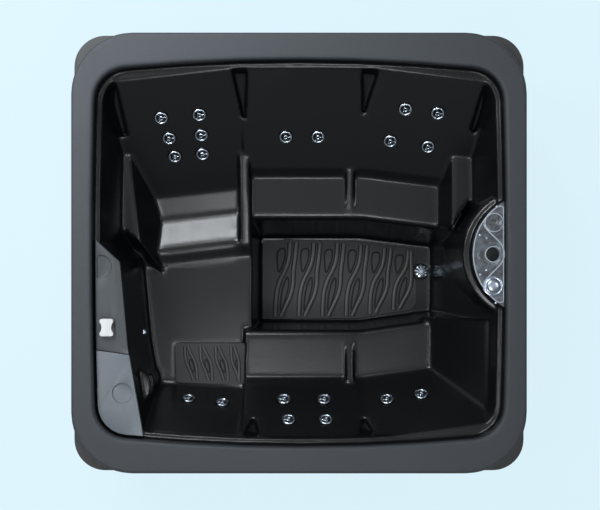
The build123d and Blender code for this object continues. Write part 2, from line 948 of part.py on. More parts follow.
def return_jet():
    """The small fixed return in the lounger's side wall."""
    neck = disc(return_jet_radius - base_gap, jet_sides)
    tube = Pos(0, 0, jet_flange) * extrude(neck, amount=-jet_bore_depth)
    flange = extrude(disc(return_jet_radius + jet_flange * 2, jet_sides), amount=jet_flange)
    eye = disc(return_jet_radius / 2, jet_sides)
    bore = Pos(0, 0, jet_flange) * extrude(eye, amount=skin - jet_bore_depth)
    return return_jet_plane().location * (tube + flange - bore)


def suction_fitting():
    """The drain body under the foot well floor, with a port for the pipe."""
    place = (suction_x, suction_y)
    body = drum(*place, suction_body_floor, floor_height, suction_body_radius)
    flange_top = floor_height + mat_thickness / 2
    flange = drum(*place, floor_height, flange_top, suction_cover_radius - suction_flange_inset)
    run = ((*place, suction_pipe_height), (suction_x, suction_y + suction_port, suction_pipe_height))
    port = rod(*run, suction_body_radius - 2 * base_gap)
    bore = drum(*place, suction_pipe_height - pipe_bore_radius, flange_top, suction_bore_radius)
    return body + flange + port - bore - rod(*run, pipe_bore_radius)


def suction_cover():
    """The domed grille over the suction, slotted all round."""
    sides = suction_cover_sides
    top = suction_cover_radius * suction_crown_share
    foot = Pos(suction_x, suction_y, floor_height)
    crown_height = floor_height + suction_cover_height
    dome = dish(suction_x, suction_y, floor_height, crown_height, suction_cover_radius, top, sides)
    ceiling = crown_height - suction_wall
    inner = (suction_cover_radius - suction_wall, top - suction_wall)
    cover = dome - dish(suction_x, suction_y, floor_height, ceiling, *inner, sides)
    for i in range(suction_slots):
        slot = Rot(0, 0, 360 * i / suction_slots) * Pos(top / 2, 0, mat_thickness) * Box(
            top * suction_slot_share,
            suction_wall,
            suction_cover_height,
            align=(Align.CENTER, Align.CENTER, Align.MIN),
        )
        cover = cover - foot * slot
    return cover


def seam_side(lid, gap):
    """The plan region on one side of the seam between cover and lid."""
    slope = tan(radians(seam_turn))
    left, right = -tub_length / 2 - skin, -tub_length / 4
    way = -1 if lid else 1
    middle = (placed(deck_shares)[3][0] - tub_length / 2) / 2
    ends = [(x, seam_middle + slope * (x - middle) + way * gap / 2) for x in (left, right)]
    return [*ends, (right, way * tub_width), (left, way * tub_width)]


def deck_blank(bottom, lid):
    """A cover's blank: the deck's plan within the rim and one side of the seam."""
    top = ledge_height + cover_thickness
    inset = -opening_draft - cover_gap
    room = span(opening_outline(inset, bottom), opening_outline(inset, top))
    return block(placed(deck_shares), bottom, top) & block(seam_side(lid, seam_gap), bottom, top) & room


def deck_cover():
    """The fixed cover with the air valve's hole and a D shaped recess."""
    top = ledge_height + cover_thickness
    hole = drum(air_x, air_y, ledge_height, top, air_hole_radius)
    dip = drum(dee_x, dee_y, top - finger_recess_depth, top, dee_radius)
    flat = box((dee_x - dee_flat, dee_y - dee_radius, ledge_height), (0, dee_y + dee_radius, top))
    return deck_blank(ledge_height, False) - hole - (dip & flat)


def filter_lid():
    """The lift off lid over the filter, with a round finger recess."""
    top = ledge_height + cover_thickness
    dip = drum(finger_recess_x, finger_recess_y, top - finger_recess_depth, top, finger_recess_radius)
    return deck_blank(ledge_height + door_seat, True) - dip


def filter_cartridge():
    """A pleated cartridge between two end caps, open along its core."""
    floor = filter_well_floor + standpipe_flange
    count = 2 * cartridge_pleats
    points = []
    for i in range(count):
        radius = cartridge_radius - (pleat_depth if i % 2 else 0)
        points.append((radius * cos(2 * pi * i / count), radius * sin(2 * pi * i / count)))
    pleats = Pos(filter_x, filter_y, 0) * block(points, floor, floor + cartridge_height)
    caps = [
        drum(filter_x, filter_y, floor, floor + skin, cartridge_radius),
        drum(filter_x, filter_y, floor + cartridge_height - skin, floor + cartridge_height, cartridge_radius),
    ]
    core = drum(filter_x, filter_y, floor, floor + cartridge_height, cartridge_core_radius)
    return pleats + caps[0] + caps[1] - core


def filter_standpipe():
    """The flanged pipe that the cartridge stands over."""
    floor = filter_well_floor
    ends = (floor - standpipe_tail, floor + standpipe_height)
    pipe = drum(filter_x, filter_y, *ends, standpipe_radius)
    flange = drum(filter_x, filter_y, floor, floor + standpipe_flange, standpipe_radius * 2)
    bore = drum(filter_x, filter_y, *ends, standpipe_radius - pipe_wall)
    return pipe + flange - bore


def air_valve_body():
    """The air valve under the deck, its collar on the cover."""
    top = ledge_height + cover_thickness
    body = drum(air_x, air_y, top - air_body_length, top, air_body_radius)
    collar = drum(air_x, air_y, top, top + air_collar_height, air_collar_radius)
    bore_floor = top - air_body_length / 2
    bore = drum(air_x, air_y, bore_floor, top + air_collar_height, stem_radius + stem_clearance, 0)
    return body + collar - bore


def air_knob():
    """The waisted knob and its stem."""
    seat = ledge_height + cover_thickness + air_collar_height + door_seat
    outline = RectangleRounded(air_knob_width, air_knob_length, air_knob_waist)
    for side in (1, -1):
        away = air_knob_width / 2 + air_knob_length / 2 - air_knob_waist
        outline = outline - Pos(side * away, 0) * disc(air_knob_length / 2, round_sides)
    grip = Pos(air_x, air_y, seat) * extrude(outline, amount=air_knob_height)
    return grip + drum(air_x, air_y, seat - air_body_length / 3, seat, stem_radius, 0)


def feature_plate():
    """The half moon plate with its light, spout and diverter holes."""
    top = shelf_height + plate_thickness
    outline = shelf_outline(shelf_reach - plate_edge, shelf_half_length - plate_edge, shelf_height)
    inset = -opening_draft - stem_clearance
    room = span(opening_outline(inset, shelf_height), opening_outline(inset, top))
    plate = extrude(make_face(Polyline(*outline, close=True)), amount=plate_thickness) & room
    for x, y, radius in (
        (lens_x, lens_y, lens_radius),
        (spout_x, spout_y, spout_radius),
        (diverter_x, diverter_y, diverter_radius),
    ):
        plate = plate - drum(x, y, shelf_height, top, radius + base_gap)
    return plate


def plate_screws():
    """The six screw heads that hold the plate."""
    top = shelf_height + plate_thickness
    ends = (top, top + screw_head_height)
    heads = [drum(x, y, *ends, screw_head_radius, jet_sides) for x, y in placed(plate_screw_shares)]
    return Compound(heads)


def light_lens():
    """The domed lens in the plate."""
    top = shelf_height + plate_thickness
    crown = lens_radius - 2 * lens_rise
    dome = dish(lens_x, lens_y, top, top + lens_rise, lens_radius, crown)
    return drum(lens_x, lens_y, shelf_height, top, lens_radius) + dome


def light_housing():
    """The lamp housing under the shelf."""
    radius = lens_radius / 2 - base_gap
    neck = drum(lens_x, lens_y, shelf_height - light_neck, shelf_height, radius)
    under = shelf_height - skin
    return neck + drum(lens_x, lens_y, under - light_head, under, lens_radius * light_head_share)


def waterfall_spout():
    """The dished spout with its off centre bore and tube below."""
    top = shelf_height + plate_thickness
    plate = drum(spout_x, spout_y, shelf_height, top, spout_radius)
    low = shelf_height - spout_tube
    tube = drum(spout_bore_x, spout_y, low, shelf_height, spout_bore_radius + skin / 2 - base_gap)
    floor = top - plate_edge
    hollow_rim = spout_radius - plate_edge
    hollow = dish(spout_x, spout_y, floor, floor + plate_thickness, hollow_rim * dish_floor_share, hollow_rim)
    bore = drum(spout_bore_x, spout_y, low + skin, top, spout_bore_radius)
    return plate + tube - hollow - bore


def diverter_body():
    """The diverter's valve body under the shelf, with two side ports."""
    radius = diverter_radius - skin - base_gap
    low = shelf_height - diverter_depth
    body = drum(diverter_x, diverter_y, low, shelf_height, radius)
    flange = drum(diverter_x, diverter_y, shelf_height, shelf_height + plate_thickness, diverter_radius)
    plate_top = shelf_height + plate_thickness
    bore = drum(diverter_x, diverter_y, low + skin, plate_top, diverter_rotor + stem_clearance, 0)
    shape = body + flange
    axis = low + skin + pipe_radius
    reach = diverter_radius * diverter_port_share
    port = ((diverter_x, diverter_y - reach, axis), (diverter_x, diverter_y + reach, axis))
    return shape + rod(*port, pipe_radius, jet_sides) - bore - rod(*port, pipe_bore_radius, jet_sides)


def diverter_knob():
    """The diverter's grip and the slotted rotor that turns with it."""
    seat = shelf_height + plate_thickness + door_seat
    disc = drum(diverter_x, diverter_y, seat, seat + diverter_knob_height / 3, diverter_radius)
    bar = Pos(diverter_x, diverter_y, seat) * Box(
        2 * diverter_radius * diverter_bar_share,
        diverter_radius * diverter_bar_width_share,
        diverter_knob_height,
        align=(Align.CENTER, Align.CENTER, Align.MIN),
    )
    low = shelf_height - diverter_depth + skin + 2 * door_seat
    rotor = drum(diverter_x, diverter_y, low, seat, diverter_rotor, 0)
    port = box(
        (diverter_x - pipe_bore_radius, diverter_y - diverter_radius, low),
        (diverter_x + pipe_bore_radius, diverter_y, low + 2 * pipe_radius),
    )
    return disc + bar + (rotor - port)


def tread_mats():
    """The foot well's mat, notched round the suction, and the lounger's."""
    mat = block(placed(foot_well_mat_shares), floor_height, floor_height + mat_thickness)
    mat = mat - drum(suction_x, suction_y, floor_height, tub_height, suction_cover_radius + mat_notch)
    small = block(shifted(placed(foot_mat_shares), -mat_gap), calf_height - mat_thickness, calf_height)
    return Compound([mat.solid(), small.solid()])


def cabinet_wall_ring(bottom, top):
    """The cabinet's wall all round, between two heights."""
    inside_length = cabinet_length - 2 * cabinet_wall
    inside_width = cabinet_width - 2 * cabinet_wall
    outer = rounded_block(cabinet_length, cabinet_width, cabinet_corner, bottom, top)
    return outer - rounded_block(inside_length, inside_width, cabinet_corner - cabinet_wall, bottom, top)


def cabinet_frame():
    """The four rounded corner posts and the flat ring that carries the rim."""
    top = tub_height - lip_drop
    under = top - cabinet_flange
    wall = cabinet_wall_ring(0, under - panel_gap)
    x = cabinet_length / 2 - cabinet_corner
    y = cabinet_width / 2 - cabinet_corner
    posts = []
    for low_x, high_x in ((-tub_length, -x), (x, tub_length)):
        for low_y, high_y in ((-tub_width, -y), (y, tub_width)):
            posts.append((wall & box((low_x, low_y, 0), (high_x, high_y, top))).solid())
    eye_length = cabinet_length - 2 * cabinet_flange_inset
    eye_width = cabinet_width - 2 * cabinet_flange_inset
    ring = rounded_block(cabinet_length, cabinet_width, cabinet_corner, under, top)
    ring = ring - rounded_block(eye_length, eye_width, cabinet_flange_corner, under, top)
    return Compound([*posts, ring.solid()])


def door_battens():
    """The four flat battens behind the door's opening, which stop the door."""
    wall = cabinet_width / 2 - cabinet_wall
    back = wall - door_frame_depth
    front = wall - panel_gap
    low = door_bottom - door_frame
    high = door_top + door_frame
    battens = []
    for x in (door_left, door_right):
        battens.append(box((x - door_frame, back, low), (x + door_frame, front, high)))
    left = door_left + door_frame + panel_gap
    right = door_right - door_frame - panel_gap
    for z in (door_bottom, door_top):
        battens.append(box((left, back, z - door_frame), (right, front, z + door_frame)))
    return battens


def back_boards(left, right, top):
    """The four boards of the cabinet's back, round the door's opening."""
    face = cabinet_width / 2
    wall = face - cabinet_wall
    board = box((left, wall, 0), (door_left, face, top))
    board = board - rod((drain_x, wall, drain_height), (drain_x, face, drain_height), drain_hole_radius)
    board = board - rod((gland_x, wall, gland_height), (gland_x, face, gland_height), gland_hole_radius)
    far = box((door_right, wall, 0), (right, face, top))
    seam_left = door_left + panel_gap
    seam_right = door_right - panel_gap
    lower = box((seam_left, wall, 0), (seam_right, face, door_bottom))
    upper = box((seam_left, wall, door_top), (seam_right, face, top))
    return [board.solid(), far, lower, upper]


def cabinet_panels():
    """The flat panels between the posts, and the battens behind the door."""
    top = tub_height - lip_drop - cabinet_flange - panel_gap
    x = cabinet_length / 2
    y = cabinet_width / 2
    end_x = x - cabinet_corner - panel_gap
    end_y = y - cabinet_corner - panel_gap
    front = box((-end_x, -y, 0), (end_x, cabinet_wall - y, top))
    left = box((-x, -end_y, 0), (cabinet_wall - x, end_y, top))
    right = box((x - cabinet_wall, -end_y, 0), (x, end_y, top))
    return Compound([front, left, right, *back_boards(-end_x, end_x, top), *door_battens()])


def base_pan():
    """The base: a plate on a rim and a cross, with the foot well's pedestal."""
    length = cabinet_length - 2 * cabinet_wall - 2 * base_gap
    width = cabinet_width - 2 * cabinet_wall - 2 * base_gap
    corner = cabinet_corner - cabinet_wall
    pan = rounded_block(length, width, corner, 0, base_thickness)
    under = base_thickness - base_plate
    hollow = rounded_block(length - 2 * base_rib, width - 2 * base_rib, corner - base_rib, 0, under)
    cross = box((-length / 2, -base_rib / 2, 0), (length / 2, base_rib / 2, under))
    cross = cross + box((-base_rib / 2, -width / 2, 0), (base_rib / 2, width / 2, under))
    floor = floor_height - skin
    low = (arm_wall_foot + skin, skin - foot_front_floor, base_thickness)
    high = (pedestal_right, head_front_floor - skin, floor)
    pedestal = box(low, high)
    inset = base_plate
    hole = box((low[0] + inset, low[1] + inset, under), (high[0] - inset, high[1] - inset, floor - inset))
    return pan - (hollow - cross) + pedestal - hole


def access_door():
    """The lift off panel in the cabinet's back, with louvre slots."""
    wall = cabinet_width / 2 - cabinet_wall
    door = box(
        (door_left + door_gap, wall + door_seat, door_bottom + door_gap),
        (door_right - door_gap, cabinet_width / 2, door_top - door_gap),
    )
    width = (door_right - door_left) * door_slot_share
    middle = (door_left + door_right) / 2
    for i in range(door_slots):
        low = door_bottom + door_slot_start + door_slot_pitch * i
        high = low + door_slot_height
        door = door - box((middle - width / 2, wall, low), (middle + width / 2, cabinet_width, high))
    return door


def door_screws():
    """The four quarter turn fasteners of the door."""
    face = cabinet_width / 2
    heads = []
    for x in (door_left + door_screw_inset, door_right - door_screw_inset):
        for z in (door_bottom + door_screw_inset, door_top - door_screw_inset):
            heads.append(rod((x, face, z), (x, face + door_screw_head, z), door_screw_radius, jet_sides))
    return Compound(heads)


def pump_motor():
    """The motor on its foot, with a terminal box and a bore for the shaft."""
    end = pump_x + motor_length
    motor = rod((pump_x, pump_y, pump_axis), (end, pump_y, pump_axis), motor_radius)
    middle = pump_x + motor_length / 2
    foot_top = pump_axis - motor_radius * motor_foot_share
    foot = box(
        (middle - motor_foot_length / 2, pump_y - motor_foot_width / 2, base_thickness),
        (middle + motor_foot_length / 2, pump_y + motor_foot_width / 2, foot_top),
    )
    top = pump_axis + motor_radius
    terminals = box(
        (middle - motor_box_length / 2, pump_y - motor_box_width / 2, pump_axis),
        (middle + motor_box_length / 2, pump_y + motor_box_width / 2, top + motor_box_height),
    )
    bore_end = (end - shaft_bore_depth, pump_y, pump_axis)
    bore = rod(bore_end, (end, pump_y, pump_axis), shaft_radius + shaft_clearance, 0)
    return motor + foot + terminals - bore


def pump_wet_end():
    """The pump housing: chamber, inlet on the axis and outlet on top."""
    back = pump_x + motor_length
    front = back + volute_length
    centre = (back + front) / 2
    shape = rod((back, pump_y, pump_axis), (front, pump_y, pump_axis), volute_radius)
    shape = shape + rod((front, pump_y, pump_axis), (front + port_length, pump_y, pump_axis), port_radius)
    top = pump_axis + volute_radius
    shape = shape + drum(centre, pump_y, pump_axis, top + port_length, port_radius)
    chamber = rod(
        (back + chamber_wall, pump_y, pump_axis),
        (front - chamber_wall, pump_y, pump_axis),
        chamber_radius,
    )
    inlet = rod((centre, pump_y, pump_axis), (front + port_length, pump_y, pump_axis), pipe_bore_radius)
    outlet = drum(centre, pump_y, pump_axis, top + port_length, pipe_bore_radius)
    bore = rod((back, pump_y, pump_axis), (centre, pump_y, pump_axis), shaft_radius + shaft_clearance, 0)
    return shape - chamber - inlet - outlet - bore


def impeller():
    """The impeller with its vanes on the motor's shaft."""
    back = pump_x + motor_length
    disc_x = back + chamber_wall + impeller_disc
    axis = (pump_y, pump_axis)
    wheel = rod((disc_x, *axis), (disc_x + impeller_disc, *axis), impeller_radius)
    front = disc_x + impeller_disc + impeller_vane
    for i in range(impeller_vanes):
        vane = box(
            (disc_x, -impeller_vane_width / 2, 0),
            (front, impeller_vane_width / 2, impeller_radius),
        )
        wheel = wheel + Pos(0, *axis) * (Rot(360 * i / impeller_vanes, 0, 0) * vane)
    return wheel + rod((back - shaft_bore_depth + impeller_disc, *axis), (front, *axis), shaft_radius, 0)


def valve_body():
    """A gate valve's body round a bore along X, its slot open at the top."""
    body = box(
        (0, -valve_width / 2, -valve_height / 2),
        (valve_length, valve_width / 2, valve_height / 2),
    )
    bore = rod((0, 0, 0), (valve_length, 0, 0), pipe_bore_radius)
    middle = valve_length / 2
    half = gate_thickness / 2 + gate_clearance
    slot = box(
        (middle - half, -gate_width / 2 - gate_clearance, -gate_travel / 2 - gate_clearance),
        (middle + half, gate_width / 2 + gate_clearance, valve_height),
    )
    return body - bore - slot


def valve_gate():
    """A gate with its pull handle, drawn up clear of the bore."""
    middle = valve_length / 2
    low = gate_travel / 2
    plate = box(
        (middle - gate_thickness / 2, -gate_width / 2, low),
        (middle + gate_thickness / 2, gate_width / 2, low + gate_length),
    )
    handle = box(
        (middle - gate_handle_depth / 2, -gate_handle_width / 2, low + gate_length),
        (middle + gate_handle_depth / 2, gate_handle_width / 2, low + gate_length + gate_handle_height),
    )
    return plate + handle


def suction_valve_place():
    return Pos(pump_x + motor_length + volute_length + port_length, pump_y, pump_axis)


def return_valve_place():
    """The return valve stands on the pump's outlet, its gate towards the door."""
    x = pump_x + motor_length + volute_length / 2
    top = pump_axis + volute_radius + port_length
    return Location(Plane(origin=(x, pump_y, top), x_dir=(0, 0, 1), z_dir=(0, 1, 0)))


def pipe(points):
    """A pipe of straight runs with tight elbows."""
    outer = None
    inner = None
    for start, end in zip(points, points[1:]):
        run = rod(start, end, pipe_radius)
        hollow = rod(start, end, pipe_bore_radius)
        outer = run if outer is None else outer + run
        inner = hollow if inner is None else inner + hollow
    for x, y, z in points[1:-1]:
        outer = outer + Pos(x, y, z) * Box(2 * pipe_radius, 2 * pipe_radius, 2 * pipe_radius)
    return outer - inner


def suction_pipe():
    end = pump_x + motor_length + volute_length + port_length + valve_length
    points = [
        (suction_x, suction_y + suction_port, suction_pipe_height),
        (suction_x, pump_y, suction_pipe_height),
        (suction_x, pump_y, pump_axis),
        (end, pump_y, pump_axis),
    ]
    return pipe(points)


def discharge_pipe():
    x = pump_x + motor_length + volute_length / 2
    start = pump_axis + volute_radius + port_length + valve_length
    points = [
        (x, pump_y, start),
        (x, pump_y, heater_axis),
        (x, heater_axis_y, heater_axis),
        (heater_x + heater_length, heater_axis_y, heater_axis),
    ]
    return pipe(points)


def heater():
    """The heater tube with its two terminals."""
    start = (heater_x, heater_axis_y, heater_axis)
    end = (heater_x + heater_length, heater_axis_y, heater_axis)
    tube = rod(start, end, heater_radius)
    top = heater_axis + heater_radius + heater_bolt_length
    for share in heater_bolt_shares:
        x = heater_x + heater_length * share
        tube = tube + drum(x, heater_axis_y, heater_axis, top, heater_bolt_radius, hex_sides)
    return tube - rod(start, end, pipe_bore_radius)


def return_manifold():
    """The capped manifold with a row of hose barbs."""
    start = (heater_x - manifold_length, heater_axis_y, heater_axis)
    end = (heater_x, heater_axis_y, heater_axis)
    body = rod(start, end, manifold_radius)
    pitch = manifold_length / barb_count
    top = heater_axis + manifold_radius
    hollow = rod((start[0] + skin, heater_axis_y, heater_axis), end, pipe_bore_radius)
    barbs = [heater_x - pitch * (i + 0.5) for i in range(barb_count)]
    for x in barbs:
        body = body + drum(x, heater_axis_y, heater_axis, top + barb_length, barb_radius, jet_sides)
    for x in barbs:
        hollow = hollow + drum(x, heater_axis_y, heater_axis, top + barb_length, barb_bore_radius, jet_sides)
    return body - hollow


def control_pack():
    """The control box on the base, open at its front for the lid."""
    low = (pack_x, pack_y, base_thickness)
    high = (pack_x + pack_length, pack_y + pack_depth, base_thickness + pack_height)
    inside = box(
        (low[0] + pack_wall, low[1] + pack_wall, low[2] + pack_wall),
        (high[0] - pack_wall, high[1], high[2] - pack_wall),
    )
    return box(low, high) - inside


def control_pack_lid():
    front = pack_y + pack_depth
    return box(
        (pack_x, front, base_thickness),
        (pack_x + pack_length, front + pack_lid, base_thickness + pack_height),
    )


def drain_spigot():
    """The drain's spigot through the cabinet wall."""
    wall = cabinet_width / 2 - cabinet_wall
    face = cabinet_width / 2 - drain_recess
    run = ((drain_x, face - drain_body_length, drain_height), (drain_x, face, drain_height))
    seat = ((drain_x, wall - drain_flange, drain_height), (drain_x, wall, drain_height))
    tube = rod(*run, drain_body_radius) + rod(*seat, drain_flange_radius)
    return tube - rod(*run, drain_cap_radius + stem_clearance, 0)


def drain_cap():
    """The twist out cap with its grip bar."""
    face = cabinet_width / 2 - drain_recess
    lip = face + door_seat
    inner_end = (drain_x, face - drain_cap_length, drain_height)
    plug = rod(inner_end, (drain_x, lip, drain_height), drain_cap_radius, 0)
    bar = box(
        (drain_x - drain_body_radius, lip, drain_height - drain_cap_bar / 2),
        (drain_x + drain_body_radius, lip + drain_cap_bar, drain_height + drain_cap_bar / 2),
    )
    return plug + bar


def cable_gland():
    """The gland for the supply cable in the cabinet wall."""
    wall = cabinet_width / 2 - cabinet_wall
    back = wall - gland_head - gland_tail
    run = ((gland_x, back, gland_height), (gland_x, cabinet_width / 2, gland_height))
    hexagon = Plane((gland_x, wall - gland_head, gland_height), z_dir=(0, 1, 0)) * RegularPolygon(
        gland_head_radius, hex_sides
    )
    head = extrude(hexagon, amount=gland_head)
    return rod(*run, gland_body_radius) + head - rod(*run, gland_bore_radius, 0)


def build():
    """Every node of the hot tub by name."""
    places = [plane.location for plane in jet_planes()]
    body = jet_body()
    nut = jet_nut()
    face = jet_face()
    return_place = return_valve_place()
    suction_place = suction_valve_place()
    nodes = {
        "tub_shell": filter_well(tub_shell()),
        "cabinet_frame": cabinet_frame(),
        "cabinet_panels": cabinet_panels(),
        "base_pan": base_pan(),
        "access_door": access_door(),
        "door_screws": door_screws(),
        "tread_mats": tread_mats(),
        "jet_bodies": Compound([place * body for place in places]),
        "jet_nuts": Compound([place * nut for place in places]),
        "return_jet": return_jet(),
        "suction_fitting": suction_fitting(),
        "suction_cover": suction_cover(),
        "deck_cover": deck_cover(),
        "filter_lid": filter_lid(),
        "filter_cartridge": filter_cartridge(),
        "filter_standpipe": filter_standpipe(),
        "air_valve_body": air_valve_body(),
        "air_knob": air_knob(),
        "feature_plate": feature_plate(),
        "plate_screws": plate_screws(),
        "light_lens": light_lens(),
        "light_housing": light_housing(),
        "waterfall_spout": waterfall_spout(),
        "diverter_body": diverter_body(),
        "diverter_knob": diverter_knob(),
        "pump_motor": pump_motor(),
        "pump_wet_end": pump_wet_end(),
        "pump_impeller": impeller(),
        "valve_bodies": Compound([suction_place * valve_body(), return_place * valve_body()]),
        "suction_gate": suction_place * valve_gate(),
        "return_gate": return_place * valve_gate(),
        "suction_pipe": suction_pipe(),
        "discharge_pipe": discharge_pipe(),
        "heater": heater(),
        "return_manifold": return_manifold(),
        "control_pack": control_pack(),
        "control_pack_lid": control_pack_lid(),
        "drain_spigot": drain_spigot(),
        "drain_cap": drain_cap(),
        "cable_gland": cable_gland(),
    }
    for i, place in enumerate(places):
        nodes[f"jet_face_{i + 1:02d}"] = place * face
    return nodes


os.makedirs("parts", exist_ok=True)
for name, shape in build().items():
    export_step(shape, f"parts/{name}.step")
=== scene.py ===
# %% [markdown]
# A hot tub seen from straight above is a dark moulded bowl under a wide rim.
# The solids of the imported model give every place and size. This script adds
# what the solids leave out: soft moulded edges, grain, ribs and bright trim.

# %% Load the fixed frame
import json
import math

import bmesh
import bpy
from mathutils import Matrix, Vector


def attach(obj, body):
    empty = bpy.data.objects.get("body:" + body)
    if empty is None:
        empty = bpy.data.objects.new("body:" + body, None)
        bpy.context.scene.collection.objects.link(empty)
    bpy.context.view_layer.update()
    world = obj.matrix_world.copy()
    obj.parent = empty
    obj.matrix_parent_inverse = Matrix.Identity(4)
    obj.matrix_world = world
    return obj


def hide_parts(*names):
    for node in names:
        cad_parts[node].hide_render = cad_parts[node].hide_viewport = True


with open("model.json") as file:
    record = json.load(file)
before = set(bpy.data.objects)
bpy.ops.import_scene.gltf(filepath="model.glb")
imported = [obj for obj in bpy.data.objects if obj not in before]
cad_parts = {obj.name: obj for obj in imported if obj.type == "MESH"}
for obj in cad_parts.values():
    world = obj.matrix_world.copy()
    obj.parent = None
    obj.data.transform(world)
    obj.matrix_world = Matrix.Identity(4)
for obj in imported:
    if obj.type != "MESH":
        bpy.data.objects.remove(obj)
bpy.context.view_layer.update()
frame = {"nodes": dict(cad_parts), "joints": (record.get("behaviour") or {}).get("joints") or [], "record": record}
SCENE = bpy.context.scene
JOINTS = {joint["name"]: joint for joint in frame["joints"]}
BODIES = frame["record"]["behaviour"]["bodies"]
BODY_OF = {node: body for body, members in BODIES.items() for node in members}
MM = 0.001

# %% [markdown]
# The photograph was taken from straight above, about four and a half metres
# over the rim. A lens of 60.6 mm on Blender's 36 mm sensor gives its frame.
# The small shifts put the middle of the tub where the photograph has it.

# %% Camera
LENS_MM = 60.6
CAMERA_HEIGHT = 5.36
PHOTO_WIDTH = 600
SHIFT_PIXELS = (1, -2)

camera = bpy.data.objects.new("camera", bpy.data.cameras.new("camera"))
camera.data.lens = LENS_MM
camera.data.shift_x = SHIFT_PIXELS[0] / PHOTO_WIDTH
camera.data.shift_y = SHIFT_PIXELS[1] / PHOTO_WIDTH
camera.location = (0, 0, CAMERA_HEIGHT)
SCENE.collection.objects.link(camera)
SCENE.camera = camera
print("camera at", CAMERA_HEIGHT, "m")

# %% [markdown]
# A dark glossy plastic shows little but reflections. One wide weak box over
# the camera gives the level seats their sheen. Eight smaller ones, brighter
# for their size, stand high round the tub. Rounded edges and bright trim pick
# them up as thin lines of light, while the steep pads mirror only the dim room
# and stay black. The far one at the head also lights the lounger's knee, and
# the two weak ones near the foot light the lounger's seat and its arm.

# %% Lights
WORLD_LEVEL = 0.26
AIM = Vector((0, 0, 0.5))
DAYLIGHT = (0.92, 0.97, 1.0)
BOXES = {
    "over": ((0.0, 0.0, 5.9), 3.0, 15),
    "upper_left": ((-2.2, 1.8, 3.7), 0.9, 66),
    "left": ((-2.7, -0.6, 4.2), 0.7, 20),
    "head": ((-0.6, 2.5, 4.5), 0.7, 26),
    "far_head": ((-1.5, 4.1, 4.4), 0.9, 90),
    "foot": ((0.2, -2.0, 4.8), 0.8, 34),
    "foot_left": ((-0.72, -2.15, 4.3), 0.6, 8),
    "near": ((-0.5, -1.05, 4.3), 0.35, 5),
    "right": ((2.7, 0.2, 4.2), 0.7, 18),
}


def soft_box(name, place, size, watts):
    """A square area lamp that faces the middle of the tub."""
    lamp = bpy.data.lights.new(name, "AREA")
    lamp.shape = "SQUARE"
    lamp.size = size
    lamp.energy = watts
    lamp.color = DAYLIGHT
    holder = bpy.data.objects.new(name, lamp)
    holder.location = place
    holder.rotation_euler = (AIM - Vector(place)).to_track_quat("-Z", "Y").to_euler()
    SCENE.collection.objects.link(holder)


for box_name, (place, size, watts) in BOXES.items():
    soft_box(box_name, place, size, watts)

world = bpy.data.worlds.new("room")
world.use_nodes = True
SCENE.world = world
background = world.node_tree.nodes["Background"]
background.inputs["Color"].default_value = (*DAYLIGHT, 1)
background.inputs["Strength"].default_value = WORLD_LEVEL
SCENE.view_settings.view_transform = "Standard"
print("soft boxes", len(BOXES))

# %% [markdown]
# Shader sums read better as plain expressions. This class wraps a socket and
# overloads the operators, so that a mask is written as one line of Python.


# %% Shader expressions
class Socket:
    """A node socket that takes part in Python expressions."""

    def __init__(self, tree, link):
        self.tree = tree
        self.link = link

    def _math(self, operation, *others):
        return self.tree.add("ShaderNodeMath", {"operation": operation}, self.link, *others)

    def __add__(self, other):
        return self._math("ADD", other)

    __radd__ = __add__

    def __mul__(self, other):
        return self._math("MULTIPLY", other)

    __rmul__ = __mul__

    def __sub__(self, other):
        return self._math("SUBTRACT", other)

    def __rsub__(self, other):
        return self.tree.add("ShaderNodeMath", {"operation": "SUBTRACT"}, other, self.link)

    def __pow__(self, other):
        return self._math("POWER", other)

    def sine(self):
        return self._math("SINE")

    def larger(self, other):
        return self._math("MAXIMUM", other)

    def smooth_step(self, low, high):
        settings = {"interpolation_type": "SMOOTHSTEP"}
        return self.tree.add("ShaderNodeMapRange", settings, self.link, low, high)


# %% [markdown]
# A second class holds one material's nodes. Its one method for all kinds of
# node takes the type, the settings and the values or links of the sockets. A
# Mix node has sockets of one name for each kind of data, so its colour sockets
# are picked by number.

# %% A material's nodes
MIX_FACTOR, MIX_FIRST, MIX_SECOND, MIX_RESULT = 0, 6, 7, 2


def grey(level, tint=(1.0, 1.0, 1.0)):
    return (*(level * part for part in tint), 1.0)


